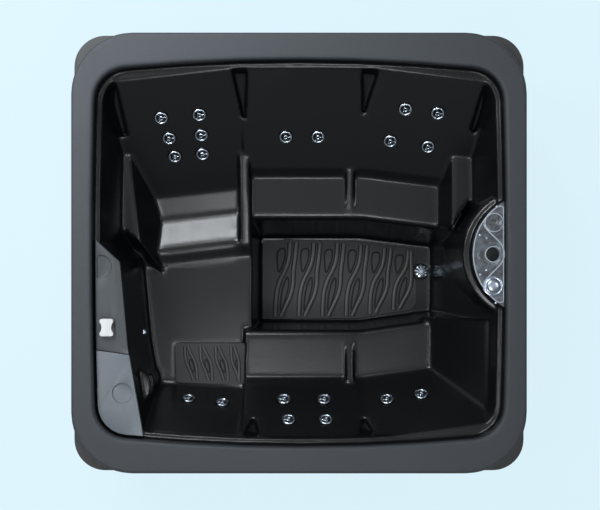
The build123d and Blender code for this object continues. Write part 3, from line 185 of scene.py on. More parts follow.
class Tree:
    """One material's nodes, added by type, settings and socket values."""

    def __init__(self, name):
        self.material = bpy.data.materials.new(name)
        self.material.use_nodes = True
        self.nodes = self.material.node_tree.nodes
        self.links = self.material.node_tree.links
        self.shader = self.nodes["Principled BSDF"]

    def join(self, value, socket):
        if isinstance(value, Socket):
            value = value.link
        if isinstance(value, bpy.types.NodeSocket):
            self.links.new(value, socket)
        else:
            socket.default_value = value

    def add(self, kind, settings, *values, out=0, **named):
        node = self.nodes.new(kind)
        for key, value in settings.items():
            setattr(node, key, value)
        for index, value in enumerate(values):
            self.join(value, node.inputs[index])
        for key, value in named.items():
            self.join(value, node.inputs[key.replace("_", " ")])
        return Socket(self, node.outputs[out])

    def place(self):
        return self.add("ShaderNodeTexCoord", {}, out="Object")

    def split(self):
        node = self.nodes.new("ShaderNodeSeparateXYZ")
        self.join(self.place(), node.inputs[0])
        return [Socket(self, output) for output in node.outputs]

    def noise(self, scale, detail=3.0, roughness=0.6):
        values = {"Scale": scale, "Detail": detail, "Roughness": roughness}
        return self.add("ShaderNodeTexNoise", {}, Vector=self.place(), **values)

    def mix(self, factor, first, second):
        node = self.nodes.new("ShaderNodeMix")
        node.data_type = "RGBA"
        self.join(factor, node.inputs[MIX_FACTOR])
        self.join(first, node.inputs[MIX_FIRST])
        self.join(second, node.inputs[MIX_SECOND])
        return Socket(self, node.outputs[MIX_RESULT])

    def greys(self, factor, levels, tint):
        """A mix of two greys that share a tint."""
        low, high = levels
        return self.mix(factor, grey(low, tint), grey(high, tint))

    def bump(self, height, strength, distance):
        return self.add("ShaderNodeBump", {}, Strength=strength, Distance=distance, Height=height)

    def set(self, **values):
        for key, value in values.items():
            self.join(value, self.shader.inputs[key.replace("_", " ")])
        return self.material


# %% [markdown]
# The shell and the lip are rotomoulded in one piece of granite look plastic.
# The lip has a fine pebble and is rougher than the smoother bathing side. Its colour is painted many times lighter
# than that side's near black, as painted light on one plastic. One material does both, because two would meet in a
# hard line. Its mask takes the top of the lip by height and the lip's outside by a rounded square. The lip is
# painted lighter still towards its upper left corner, as painted light from the upper left lamp, and a slow
# noise keeps the gloss uneven, as a moulded skin is.

# %% Shell material
COOL = (0.88, 0.98, 1.12)
LIP_LOW, LIP_HIGH = 0.822, 0.850
HALF_LENGTH, HALF_WIDTH = 1.018, 0.985
SQUARENESS, SIDE_LOW, SIDE_HIGH = 6, 0.86, 0.94
# Painted light: between these the lip is painted lighter towards the upper left lamp.
LIT_SIDE_LOW, LIT_SIDE_HIGH = -0.55, 1.0
SPECK_LOW, SPECK_HIGH = 0.50, 0.74
SPECK_SCALE, CLOUD_SCALE, PEBBLE_SCALE = 620.0, 3.5, 260.0
# Painted light: the lip's greys are far lighter than the bowl's, on the same near black plastic.
BOWL_GREYS, LIP_PAINTED_GREYS, LIT_SIDE_GREYS = (0.0035, 0.009), (0.034, 0.072), (0.052, 0.112)
BOWL_ROUGH, LIP_ROUGHER, CLOUD_ROUGHER = 0.20, 0.32, 0.10
COARSE_SHARE, FINER = 0.6, 2.7


def pebble(tree, scale, strength, depth):
    """Small round dimples at two sizes."""
    coarse = tree.noise(scale, 2.0, 0.5)
    fine = tree.noise(scale * FINER, 3.0, 0.7)
    return tree.bump(coarse * COARSE_SHARE + fine * (1 - COARSE_SHARE), strength, depth)


def shell_material():
    tree = Tree("moulded_shell")
    x, y, z = tree.split()
    square = (x * (1 / HALF_LENGTH)) ** SQUARENESS + (y * (1 / HALF_WIDTH)) ** SQUARENESS
    # This mask also says where the lip's painted light goes.
    lip = z.smooth_step(LIP_LOW, LIP_HIGH).larger(square.smooth_step(SIDE_LOW, SIDE_HIGH))
    speck = tree.noise(SPECK_SCALE, 2.0, 0.8).smooth_step(SPECK_LOW, SPECK_HIGH)
    cloud = tree.noise(CLOUD_SCALE, 2.0, 0.5)
    dark = tree.greys(speck, BOWL_GREYS, COOL)
    # Painted light: lighter towards the upper left lamp; fresh is the lip's painted tone away from that lamp.
    lip_lit_side = (y * 0.5 - x * 0.5).smooth_step(LIT_SIDE_LOW, LIT_SIDE_HIGH)
    fresh = tree.greys(speck, LIP_PAINTED_GREYS, COOL)
    painted_lip = tree.mix(lip_lit_side, fresh, tree.greys(speck, LIT_SIDE_GREYS, COOL))
    return tree.set(
        Base_Color=tree.mix(lip, dark, painted_lip),
        Roughness=BOWL_ROUGH + lip * LIP_ROUGHER + cloud * CLOUD_ROUGHER,
        Specular_IOR_Level=0.42,
        Normal=pebble(tree, PEBBLE_SCALE, 0.20, 0.0009),
    )


SHELL = shell_material()
print("shell material", len(SHELL.node_tree.nodes), "nodes")

# %% [markdown]
# The other plastics differ in tone, gloss and grain, so one function makes
# them all from those numbers. The covers carry pale specks of their own.

# %% Plastics
UNEVEN = 0.12
GRAIN_DEPTH = 0.0006


def plastic(name, level, roughness, grain=300.0, strength=0.1, tint=(1, 1, 1), spread=0.2):
    """A moulded or painted finish with a slow change of tone and a fine grain."""
    tree = Tree(name)
    cloud = tree.noise(9.0, 3.0, 0.5)
    return tree.set(
        Base_Color=tree.greys(cloud, (level * (1 - spread), level * (1 + spread)), tint),
        Roughness=cloud * UNEVEN + (roughness - UNEVEN / 2),
        Normal=pebble(tree, grain, strength, GRAIN_DEPTH),
    )


def cover_material(name, low, high):
    """A speckled cover, from its ground's tone to its specks'."""
    tree = Tree(name)
    speck = tree.noise(900.0, 2.0, 0.7).smooth_step(0.5, 0.7)
    colour = tree.greys(speck, (low, high), COOL)
    grain = pebble(tree, 420.0, 0.25, GRAIN_DEPTH)
    return tree.set(Base_Color=colour, Roughness=0.40, Normal=grain)


# %% [markdown]
# Metals get a smear in their tone and roughness, because a perfectly even
# chrome looks drawn. The plate and the lens are half clear plastics, whose
# backing shows through in patches. Light through clear plastic is slow to
# render, so the patches are mottled on, and a coat gives the clear gloss.


# %% Metals, silver, lens and paper
SMEAR_DARK, SMEAR_BRIGHT, SMEAR_ROUGHER = 0.85, 1.1, 0.1
WEAVE_SCALE = 2600.0


def metal(name, level, roughness):
    tree = Tree(name)
    smear = tree.noise(40.0, 3.0, 0.6)
    base = tree.greys(smear, (level * SMEAR_DARK, level * SMEAR_BRIGHT), COOL)
    return tree.set(Base_Color=base, Metallic=1.0, Roughness=smear * SMEAR_ROUGHER + roughness)


def silver_material():
    """Half clear silver plastic, mottled where its backing shows through."""
    tree = Tree("silver_plate")
    cloud = tree.noise(26.0, 3.0, 0.6).smooth_step(0.3, 0.75)
    base = tree.greys(cloud, (0.04, 0.15), COOL)
    rough = cloud * UNEVEN + 0.38
    return tree.set(Base_Color=base, Metallic=0.2, Roughness=rough, Coat_Weight=0.2)


def lens_material():
    tree = Tree("clear_lens")
    cloud = tree.noise(35.0, 3.0, 0.6).smooth_step(0.35, 0.65)
    base = tree.greys(cloud, (0.03, 0.10), COOL)
    return tree.set(Base_Color=base, Roughness=cloud * 0.1 + 0.22, Coat_Weight=0.4)


def pleat_material():
    """Woven filter paper that has taken some stain."""
    tree = Tree("filter_pleats")
    height = tree.split()[2]
    weave = (height * WEAVE_SCALE).sine() * 0.5 + tree.noise(900.0) * 0.5
    stain = tree.noise(14.0).smooth_step(0.4, 0.8)
    base = tree.mix(stain, grey(0.66, (0.96, 1.0, 1.04)), grey(0.50, (1.0, 0.98, 0.92)))
    return tree.set(Base_Color=base, Roughness=0.85, Normal=tree.bump(weave, 0.3, 0.0005))


# %% [markdown]
# These are the finishes of this tub. A plastic's numbers are its tone, its
# roughness, and the scale and strength of its grain.

# %% Finishes
COVER = cover_material("speckled_cover", 0.042, 0.115)
LID = cover_material("speckled_lid", 0.12, 0.30)
CHROME = metal("chrome_trim", 0.62, 0.12)
BRIGHT = plastic("bright_rim", 0.40, 0.28, 60.0, 0.1, tint=COOL, spread=0.35)
STEEL = metal("brushed_steel", 0.52, 0.24)
SILVER = silver_material()
LENS = lens_material()
PAPER = pleat_material()
CABINET = plastic("cabinet_grain", 0.045, 0.55, 240.0, 0.35)
BASE = plastic("base_plastic", 0.02, 0.6)
MAT = plastic("tread_rubber", 0.020, 0.62, 500.0, 0.2)
# One rubber in three tones: the groove tone is painted shade, and the rib tone is painted light on the ribs' tops.
GROOVE_SHADE = plastic("painted_groove_shade", 0.003, 0.85, 500.0, 0.2)
RIB_PAINTED_LIGHT = plastic("rib_painted_light", 0.050, 0.46, 500.0, 0.2)
WHITE = plastic("white_plastic", 0.62, 0.32, 500.0, 0.04, spread=0.05)
BLACK = plastic("black_plastic", 0.010, 0.35)
PAINT = plastic("motor_paint", 0.05, 0.4, 600.0, 0.06)
RED = plastic("valve_red", 0.30, 0.4, tint=(1.0, 0.12, 0.08))
print("materials", len(bpy.data.materials))

# %% [markdown]
# A floor in the colour of the photograph's background. Where the camera, a
# mirror or clear plastic looks at it, it glows, so that it stays pale and even,
# and a plain part keeps the tub's shadow.

# %% Floor
GLOW_SHARE = 0.90
PALE = (0.745, 0.92, 1.0, 1.0)
FLOOR_HALF = 14


def floor_material():
    tree = Tree("pale_floor")
    path = tree.nodes.new("ShaderNodeLightPath")
    seen = Socket(tree, path.outputs["Is Camera Ray"])
    seen = seen + Socket(tree, path.outputs["Is Glossy Ray"])
    seen = seen + Socket(tree, path.outputs["Is Transmission Ray"])
    glow = tree.add("ShaderNodeEmission", {}, Color=PALE, Strength=1.0)
    tree.set(Base_Color=PALE, Roughness=0.9)
    mixed = tree.add("ShaderNodeMixShader", {}, seen * GLOW_SHARE, tree.shader.outputs[0], glow)
    tree.links.new(mixed.link, tree.nodes["Material Output"].inputs[0])
    return tree.material


def new_object(name, mesh, *materials):
    item = bpy.data.objects.new(name, mesh)
    SCENE.collection.objects.link(item)
    for material in materials:
        mesh.materials.append(material)
    return item


floor_mesh = bpy.data.meshes.new("floor")
floor_work = bmesh.new()
bmesh.ops.create_grid(floor_work, x_segments=1, y_segments=1, size=FLOOR_HALF)
floor_work.to_mesh(floor_mesh)
floor_work.free()
new_object("floor", floor_mesh, floor_material())
print("floor", 2 * FLOOR_HALF, "m wide")

# %% [markdown]
# Every new piece ends the same way: its doubles are merged, it becomes a mesh
# with smooth shading and sharp creases, it rides on the body of the node that
# it stands for, and that node is hidden. Faces that are exactly level stay
# flat, or the rounded edges round them would smear their shading.

# %% Finishing a piece
TINY = 0.00002
LEVEL = 0.99999


def finished(work, name, materials, node, sharp=35, fresh=True):
    """Makes a shaded piece from a bmesh, which stands for the node."""
    if fresh:
        bmesh.ops.remove_doubles(work, verts=work.verts, dist=TINY)
        bmesh.ops.recalc_face_normals(work, faces=work.faces)
    work.normal_update()
    for face in work.faces:
        face.smooth = abs(face.normal.z) < LEVEL
    mesh = bpy.data.meshes.new(name)
    work.to_mesh(mesh)
    work.free()
    item = new_object(name, mesh, *materials)
    mesh.set_sharp_from_angle(angle=math.radians(sharp))
    placed_for(item, node)


def placed_for(item, node):
    """Puts a piece on the body that it rides on, and hides the node it stands for."""
    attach(item, BODY_OF[node])
    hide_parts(node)


# %% [markdown]
# The real shell is formed over a mould, so no edge on it is sharp: the photo
# shows each seat's nose and each pocket's rim as a soft line of light. A bevel
# can't follow the many edges that meet in this bowl. So a copy of the solid is
# remeshed into even cells, smoothed until its edges are as round as the real
# ones, and thinned, which keeps small cells only where the surface bends. The
# smoothing is light on the rim, stronger in the bowl and strongest over the
# lounger's knee, by weights that follow each point's place.

# %% Where the shell is soft
CELL = 0.0055
SOFT_ALL, SOFT_BOWL, SOFT_KNEE = ((8, 22, 120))
SOFT_FACTOR = 0.5
BOWL_LOW, BOWL_HIGH = 0.755, 0.795
KNEE_BOX = ((-0.67, -0.30), (-0.07, 0.13), (0.34, 0.50))
MOST_TRIANGLES = 185000


def whole(node):
    """A bmesh of a node with its loose triangles joined."""
    work = bmesh.new()
    work.from_mesh(frame["nodes"][node].data)
    bmesh.ops.remove_doubles(work, verts=work.verts, dist=TINY)
    return work


def in_bowl(place):
    """One below the ledge, falling to nought at the rim, which stays crisp."""
    return min(1.0, max(0.0, (BOWL_HIGH - place.z) / (BOWL_HIGH - BOWL_LOW)))


def at_knee(place):
    """One on the lounger's knee, which is rounder than any other edge."""
    inside = all(low < value < high for value, (low, high) in zip(place, KNEE_BOX))
    return 1.0 if inside else 0.0


# %% [markdown]
# The remeshing, smoothing and thinning are modifiers. Their result is taken
# from the evaluated object, so none of them stays on the piece.


# %% Soft shell
def applied(mesh, steps, weights=()):
    """A new mesh with modifiers applied, each given as its kind and settings."""
    item = bpy.data.objects.new("working", mesh)
    SCENE.collection.objects.link(item)
    for weight in weights:
        group = item.vertex_groups.new(name=weight.__name__)
        for vert in mesh.vertices:
            group.add([vert.index], weight(vert.co), "REPLACE")
    for kind, settings in steps:
        modifier = item.modifiers.new(kind.lower(), kind)
        for key, value in settings.items():
            setattr(modifier, key, value)
    graph = bpy.context.evaluated_depsgraph_get()
    result = bpy.data.meshes.new_from_object(item.evaluated_get(graph))
    bpy.data.objects.remove(item)
    return result


def smoothing(rounds, weight=None):
    settings = {"factor": SOFT_FACTOR, "iterations": rounds}
    if weight:
        settings["vertex_group"] = weight.__name__
    return ("SMOOTH", settings)


def soft_shell():
    work = whole("tub_shell")
    solid = bpy.data.meshes.new("solid")
    work.to_mesh(solid)
    work.free()
    cells = applied(solid, [("REMESH", {"mode": "VOXEL", "voxel_size": CELL})])
    steps = [smoothing(SOFT_ALL), smoothing(SOFT_BOWL, in_bowl), smoothing(SOFT_KNEE, at_knee)]
    share = min(1.0, MOST_TRIANGLES / (2 * len(cells.polygons)))
    thin = applied(cells, [*steps, ("DECIMATE", {"ratio": share})], [in_bowl, at_knee])
    thin.name = "soft_shell"
    for polygon in thin.polygons:
        polygon.use_smooth = True
    print("shell", len(cells.polygons), "cells, then", len(thin.polygons), "triangles")
    placed_for(new_object("soft_shell", thin, SHELL), "tub_shell")


soft_shell()

# %% [markdown]
# Most other solids need only soft edges and a finish. A copy of the node's
# mesh is merged, its flat faces are joined, its sharp edges are bevelled, and
# the copy stands for the node. The bevel's width suits each piece's own edges.
# A few pieces keep the solid's own mesh and get only a finish: the pipes, the
# impeller and the jets' bodies and nuts show no edge, and the gates slide
# close inside their valves.

# %% Dressed copies of solids
FLAT_ANGLE, SHARP_ANGLE = 1, 32


def dressed(node, material, width):
    """A copy of a node with its sharp edges rounded by a width in millimetres."""
    work = whole(node)
    bmesh.ops.dissolve_limit(
        work, angle_limit=math.radians(FLAT_ANGLE), verts=work.verts, edges=work.edges,
        delimit={"NORMAL"},
    )
    limit = math.radians(SHARP_ANGLE)
    sharp = [e for e in work.edges if len(e.link_faces) == 2 and e.calc_face_angle(0) > limit]
    bmesh.ops.bevel(
        work, geom=sharp, offset=width * MM, segments=2, profile=0.5, affect="EDGES",
        clamp_overlap=True, material=-1, loop_slide=True,
    )
    finished(work, node + "_soft", [material], node, fresh=False)


DRESSED = {
    "cabinet_frame": (CABINET, 3), "cabinet_panels": (CABINET, 2), "base_pan": (BASE, 3),
    "access_door": (CABINET, 1.5), "door_screws": (STEEL, 0.8), "deck_cover": (COVER, 2.5),
    "filter_lid": (LID, 2.5), "air_valve_body": (BLACK, 1), "air_knob": (WHITE, 3.5),
    "pump_wet_end": (BLACK, 3), "heater": (STEEL, 1), "return_manifold": (WHITE, 1),
    "control_pack": (PAINT, 2), "control_pack_lid": (PAINT, 2), "drain_cap": (BLACK, 1),
    "drain_spigot": (BLACK, 0.8), "cable_gland": (BLACK, 1), "filter_standpipe": (WHITE, 0.8),
    # The suction fitting is painted black as painted shade, the dark seen through the grille's slots.
    "light_housing": (BLACK, 0.8), "diverter_body": (WHITE, 0.8), "suction_fitting": (BLACK, 0.8),
}
KEPT = {
    "jet_bodies": BLACK, "jet_nuts": WHITE, "pump_impeller": BLACK,
    "suction_pipe": WHITE, "discharge_pipe": WHITE, "valve_bodies": WHITE,
    "suction_gate": RED, "return_gate": RED,
}
for node, (material, width) in DRESSED.items():
    dressed(node, material, width)
for node, material in KEPT.items():
    frame["nodes"][node].data.materials.clear()
    frame["nodes"][node].data.materials.append(material)
print("dressed", len(DRESSED), "kept", len(KEPT))

# %% [markdown]
# Round trim is turned on a lathe in the real world or moulded as if it were.
# A profile is drawn as points of radius and height, and spin turns it round.
# A profile that starts and ends on the axis closes into a solid by itself, and
# one that keeps off the axis is joined end to end into a ring.


# %% Turned pieces
def spun(work, profile, steps, material=0, ring=False, centre=(0, 0)):
    """Turns a profile of radii and heights in millimetres, and gives its vertices."""
    x, y = (value * MM for value in centre)
    verts = [work.verts.new((x + radius * MM, y, height * MM)) for radius, height in profile]
    pairs = list(zip(verts, verts[1:]))
    if ring:
        pairs.append((verts[-1], verts[0]))
    edges = [work.edges.new(pair) for pair in pairs]
    known = set(work.faces)
    bmesh.ops.spin(
        work, geom=verts + edges, cent=(x, y, 0), axis=(0, 0, 1), angle=2 * math.pi,
        steps=steps, use_merge=True,
    )
    fresh = [face for face in work.faces if face not in known]
    for face in fresh:
        face.material_index = material
    return list({vert for face in fresh for vert in face.verts})


def fluted(verts, beyond, share, steps, centre=(0, 0)):
    """Draws every other column of outer vertices in, for a grip."""
    x, y = (value * MM for value in centre)
    for vert in verts:
        away = Vector((vert.co.x - x, vert.co.y - y))
        column = round(math.atan2(away.y, away.x) / (2 * math.pi) * steps)
        if away.length > beyond * MM and column % 2:
            vert.co.x = x + away.x * share
            vert.co.y = y + away.y * share


# %% [markdown]
# Each jet's face is a chromed bezel that a bather turns to open or shut it.
# Its rim is fluted for wet fingers. Inside are a black cup, three slanting
# vanes and a bright nozzle ring. One face is built at the origin and copied
# to the twenty joints, turned to each joint's axis, and rides on its own body.

# %% Jet faces
JET_COUNT, JET_STEPS = 20, 48
BEZEL = [
    (22, 3), (21.6, 4.6), (22.8, 7.4), (25.4, 8.7), (28.6, 8.2), (31.2, 6.4), (32, 4), (31.4, 2.9),
]
BEZEL_FLUTES, BEZEL_SHARE = 30.5, 0.965
CUP = [
    (21.9, 4.4), (18.6, 3.1), (18.2, -5), (11.2, -9), (11.2, -10), (18.6, -6.4), (18.8, 2.9),
    (21.9, 3.1),
]
NOZZLE = [
    (5.2, 5.6), (6.2, 7.6), (8.2, 8.2), (10.2, 7), (11, 4.6), (11, -14), (9.6, -15), (5.2, -15),
]
VANE_COUNT, VANE_LEAN, VANE_BEVEL = 3, 0.6, 0.6
VANE_SIZE, VANE_PLACE = (12.5, 2.4, 5), (15.8, 0, 2.2)


def metres(*lengths):
    return [length * MM for length in lengths]


def vane(work, turn):
    """One slanting vane between the cup and the nozzle."""
    known = set(work.verts)
    blade = bmesh.ops.create_cube(work, size=1.0)["verts"]
    lean = Matrix.Rotation(VANE_LEAN, 3, "X")
    bmesh.ops.scale(work, vec=metres(*VANE_SIZE), verts=blade)
    bmesh.ops.rotate(work, cent=(0, 0, 0), matrix=lean, verts=blade)
    bmesh.ops.translate(work, vec=metres(*VANE_PLACE), verts=blade)
    edges = list({edge for vert in blade for edge in vert.link_edges})
    bmesh.ops.bevel(
        work, geom=edges, offset=VANE_BEVEL * MM, segments=2, profile=0.5, affect="EDGES",
        material=-1,
    )
    fresh = [vert for vert in work.verts if vert not in known]
    bmesh.ops.rotate(work, cent=(0, 0, 0), matrix=Matrix.Rotation(turn, 3, "Z"), verts=fresh)


def jet_face():
    """One face in its own frame, with its pad at height nought."""
    work = bmesh.new()
    rim = spun(work, BEZEL, JET_STEPS, 0, ring=True)
    fluted(rim, BEZEL_FLUTES, BEZEL_SHARE, JET_STEPS)
    spun(work, CUP, JET_STEPS // 2, 1, ring=True)
    spun(work, NOZZLE, JET_STEPS // 2, 0, ring=True)
    for number in range(VANE_COUNT):
        vane(work, number * 2 * math.pi / VANE_COUNT)
    return work


jet_blank = jet_face()
for number in range(1, JET_COUNT + 1):
    joint = JOINTS[f"jet_{number:02d}_turn"]
    axis = Vector(joint["axis"]).normalized()
    across = Vector((0, 0, 1)).cross(axis).normalized()
    facing = Matrix((across, axis.cross(across), axis)).transposed().to_4x4()
    work = jet_blank.copy()
    place = Matrix.Translation(Vector(joint["pos_m"])) @ facing
    bmesh.ops.transform(work, matrix=place, verts=work.verts)
    finished(work, f"jet_trim_{number:02d}", [CHROME, BLACK], f"jet_face_{number:02d}", sharp=50)
jet_blank.free()
print("jets", JET_COUNT)

# %% [markdown]
# The small fitting low in the deck's wall returns heated water. It is a bright
# ring round a ball with a hole, turned in place and then tilted to the wall.

# %% Return fitting
RETURN_PLACE = Vector((-0.7421, -0.381, 0.5))
RETURN_AXIS = Vector((0.996, 0.0896, 0.1162)).normalized()
RETURN_STEPS = 36
RETURN_PROFILE = [
    (0, -26), (8.6, -26), (8.6, 0), (9.4, 1.6), (11, 2), (12.6, 1), (13.6, 0.9), (15, 2.4),
    (20.5, 2.5), (22.4, 1.8), (22.8, 0.1), (17.2, 0.1), (17.2, -37), (0, -37),
]
work = bmesh.new()
spun(work, RETURN_PROFILE, RETURN_STEPS)
lean = RETURN_AXIS.to_track_quat("Z", "Y").to_matrix().to_4x4()
bmesh.ops.transform(work, matrix=Matrix.Translation(RETURN_PLACE) @ lean, verts=work.verts)
finished(work, "return_trim", [CHROME], "return_jet")
print("return fitting", len(RETURN_PROFILE), "profile points")

# %% [markdown]
# The feature plate is half clear silver plastic with a bright raised rim. A
# ribbon starts beside the light, bows outwards past the spout and ends beside
# the knob. Both are moulded in the plate, so they are thin flattened tubes
# along a curve, half sunk in its face. The rim's curve is part of a circle,
# closed by a straight run along the tub's side, and its two ends are rounded.

# %% Feature plate
PLATE_TOP = 821
PLATE_CIRCLE, PLATE_RADIUS = (1050, -6), 267
PLATE_SWEEP, PLATE_SIDE, PLATE_STEPS = 54, 919, 12
PLATE_CORNER = 20
LINE_HEIGHT, LINE_FLAT = PLATE_TOP + 0.8, 0.8
RIM_RADIUS, RIBBON_RADIUS = 2.7, 3.0
RIBBON = [
    (829, 130), (838, 112), (872, 78), (908, 44), (921, 12), (923, -6),
    (921, -24), (908, -50), (872, -86), (838, -120), (829, -140),
]
CURVE_STEPS, ROUND_STEPS = 5, 2


def tubes(lines, radius, height, flat, loops=False):
    """A bmesh of flattened tubes along level curves, in millimetres."""
    curve = bpy.data.curves.new("line", "CURVE")
    curve.dimensions = "3D"
    curve.bevel_depth = radius * MM
    curve.bevel_resolution = ROUND_STEPS
    curve.use_fill_caps = not loops
    curve.resolution_u = CURVE_STEPS
    for line in lines:
        spline = curve.splines.new("NURBS")
        spline.points.add(len(line) - 1)
        for point, (x, y) in zip(spline.points, line):
            point.co = (x * MM, y * MM, height * MM, 1)
        spline.order_u = 3
        spline.use_endpoint_u = not loops
        spline.use_cyclic_u = loops
    holder = bpy.data.objects.new("line", curve)
    SCENE.collection.objects.link(holder)
    graph = bpy.context.evaluated_depsgraph_get()
    mesh = bpy.data.meshes.new_from_object(holder.evaluated_get(graph))
    bpy.data.objects.remove(holder)
    work = bmesh.new()
    work.from_mesh(mesh)
    level = Matrix.Translation((0, 0, -height * MM))
    bmesh.ops.scale(work, vec=(1, 1, flat), space=level, verts=work.verts)
    return work


def joined(work, other, material):
    """Adds another bmesh's faces to the first, with a material."""
    for face in other.faces:
        face.material_index = material
    mesh = bpy.data.meshes.new("part")
    other.to_mesh(mesh)
    other.free()
    work.from_mesh(mesh)


def plate_rim():
    """The rim's plan points, along the circle and back along the side."""
    points = []
    for step in range(PLATE_STEPS + 1):
        angle = math.radians(PLATE_SWEEP * (2 * step / PLATE_STEPS - 1))
        x = PLATE_CIRCLE[0] - PLATE_RADIUS * math.cos(angle)
        points.append((x, PLATE_CIRCLE[1] + PLATE_RADIUS * math.sin(angle)))
    low, high = points[0][1], points[-1][1]
    back = (high, high - PLATE_CORNER, low + PLATE_CORNER, low)
    return points + [(PLATE_SIDE, y) for y in back]


work = whole("feature_plate")
joined(work, tubes([plate_rim()], RIM_RADIUS, LINE_HEIGHT, LINE_FLAT, loops=True), 1)
joined(work, tubes([RIBBON], RIBBON_RADIUS, LINE_HEIGHT, LINE_FLAT), 1)
finished(work, "silver_plate", [SILVER, BRIGHT], "feature_plate", fresh=False)
print("plate rim", len(plate_rim()), "points")

# %% [markdown]
# Four turned pieces sit in and on the plate. The light is a domed lens in a
# bright ring, with faint rings moulded in the lens.

# %% Light
LENS_PLACE, LENS_STEPS = (877, 137), 64
LENS_RING = [
    (38.5, 816), (38.5, 822.4), (40, 824.4), (42.4, 824), (43.8, 822), (43.8, 815.2), (41, 815.2),
]
LENS_DOME = [
    (0, 825), (3, 824.8), (6, 825.6), (12, 825.2), (16, 824.2), (20, 824.8), (27, 823.6),
    (31, 822.4), (34, 822.8), (38.4, 820.6), (38.4, 815.4), (0, 815.4),
]

work = bmesh.new()
spun(work, LENS_RING, LENS_STEPS, 1, ring=True, centre=LENS_PLACE)
spun(work, LENS_DOME, LENS_STEPS, 0, centre=LENS_PLACE)
finished(work, "domed_light", [LENS, BRIGHT], "light_lens", sharp=60)
print("lens", len(LENS_DOME), "profile points")

# %% [markdown]
# The spout is a shallow dish with a bore off its middle and a lip round
# the bore, thick on one side. A lathe can't turn that, so the dish is turned
# about its own middle and its inner points then slide over to the bore. The
# lip's top is stretched on its inner side. The bore's floor is a black disc,
# painted shade for the dark deep in the hole.

# %% Spout
SPOUT_PLACE, BORE_PLACE = (853, -6), (878, -6)
DISH_STEPS, BORE_STEPS = 64, 48
DISH = [
    (37.6, 817.2), (44, 817.6), (52, 818.6), (57.6, 820.4), (59.4, 821), (61.8, 820.2),
    (61.8, 815.2), (37.6, 815.2),
]
DISH_MOVED, DISH_BLEND = 50, 12
BORE_LIP = [(33.2, 746), (33.2, 817.6), (34, 819.4), (36, 820), (37.6, 818.8), (37.6, 746)]
# Painted shade: the bore's floor is a black disc that stands for the dark deep in the hole.
BORE_FLOOR = [(0, 752), (33.4, 752), (33.4, 748), (0, 748)]
LIP_FROM, LIP_STRETCH = 0.812, 0.12

work = bmesh.new()
spun(work, DISH, DISH_STEPS, 0, ring=True, centre=SPOUT_PLACE)
for vert in work.verts:
    away = Vector((vert.co.x - SPOUT_PLACE[0] * MM, vert.co.y - SPOUT_PLACE[1] * MM))
    if away.length < DISH_MOVED * MM:
        share = min(1, (DISH_MOVED * MM - away.length) / (DISH_BLEND * MM))
        vert.co.x += (BORE_PLACE[0] - SPOUT_PLACE[0]) * MM * share
for vert in spun(work, BORE_LIP, BORE_STEPS, 1, ring=True, centre=BORE_PLACE):
    away = vert.co.x - BORE_PLACE[0] * MM
    if vert.co.z > LIP_FROM and away < 0:
        vert.co.x += away * LIP_STRETCH
# The bore's floor takes the black finish, as painted shade.
spun(work, BORE_FLOOR, BORE_STEPS, 2, centre=BORE_PLACE)
finished(work, "dished_spout", [SILVER, BRIGHT, BLACK], "waterfall_spout", sharp=50)
print("bore", BORE_PLACE[0] - SPOUT_PLACE[0], "mm off the dish's middle")

# %% [markdown]
# The knob is one brushed turning with fine rings on its top and a fluted skirt
# round its foot. The screws are small round heads with a socket.

# %% Knob and screws
KNOB_PLACE, KNOB_STEPS = (871, -147), 48
KNOB = [
    (0, 844.4), (3, 844), (8, 844.6), (14, 844.2), (20, 842.6), (25, 841.4), (28.6, 838),
    (29.6, 832), (30.4, 829.6), (34, 828.8), (35.6, 827), (38, 827.4), (41, 829.2), (44, 828.4),
    (45.8, 825.6), (45.8, 821.6), (28.8, 821.4), (28.8, 717), (0, 717),
]
SKIRT_LOW, SKIRT_HIGH, SKIRT_FLUTES, SKIRT_SHARE = 0.8214, 0.8275, 44, 0.97
SCREW_STEPS = 20
SCREW = [
    (0, 822.4), (1.7, 822.4), (1.9, 823.2), (3.2, 823.4), (4.6, 822.6), (5, 821.2), (0, 821.05),
]
SCREWS = [(890, 208), (814, 80), (843, 66), (843, -78), (815, -97), (885, -224)]

work = bmesh.new()
turned = spun(work, KNOB, KNOB_STEPS, 0, centre=KNOB_PLACE)
skirt = [vert for vert in turned if SKIRT_LOW < vert.co.z < SKIRT_HIGH]
fluted(skirt, SKIRT_FLUTES, SKIRT_SHARE, KNOB_STEPS, KNOB_PLACE)
finished(work, "ringed_knob", [STEEL], "diverter_knob", sharp=40)

work = bmesh.new()
for place in SCREWS:
    spun(work, SCREW, SCREW_STEPS, 0, centre=place)
finished(work, "plate_screw_heads", [STEEL], "plate_screws")
print("screws", len(SCREWS))

# %% [markdown]
# The suction grille is a chromed dome with three rings of slots. It is spun,
# every other pair of panels in its middle rings is deleted to open the slots,
# and solidify gives the skin its thickness.

# %% Suction grille
GRILLE_PLACE, GRILLE_STEPS, GRILLE_WALL = (634, -96), 40, 2.2
GRILLE = [
    (41.8, 115.4), (41.8, 118), (40.5, 121), (36, 126), (29, 129.2), (20, 130.6), (9, 130.9),
    (0, 131),
]
SLOTTED_FROM, SLOTTED_TO = 0.010, 0.037
SLOT_PERIOD, SLOT_PANELS = 4, 2

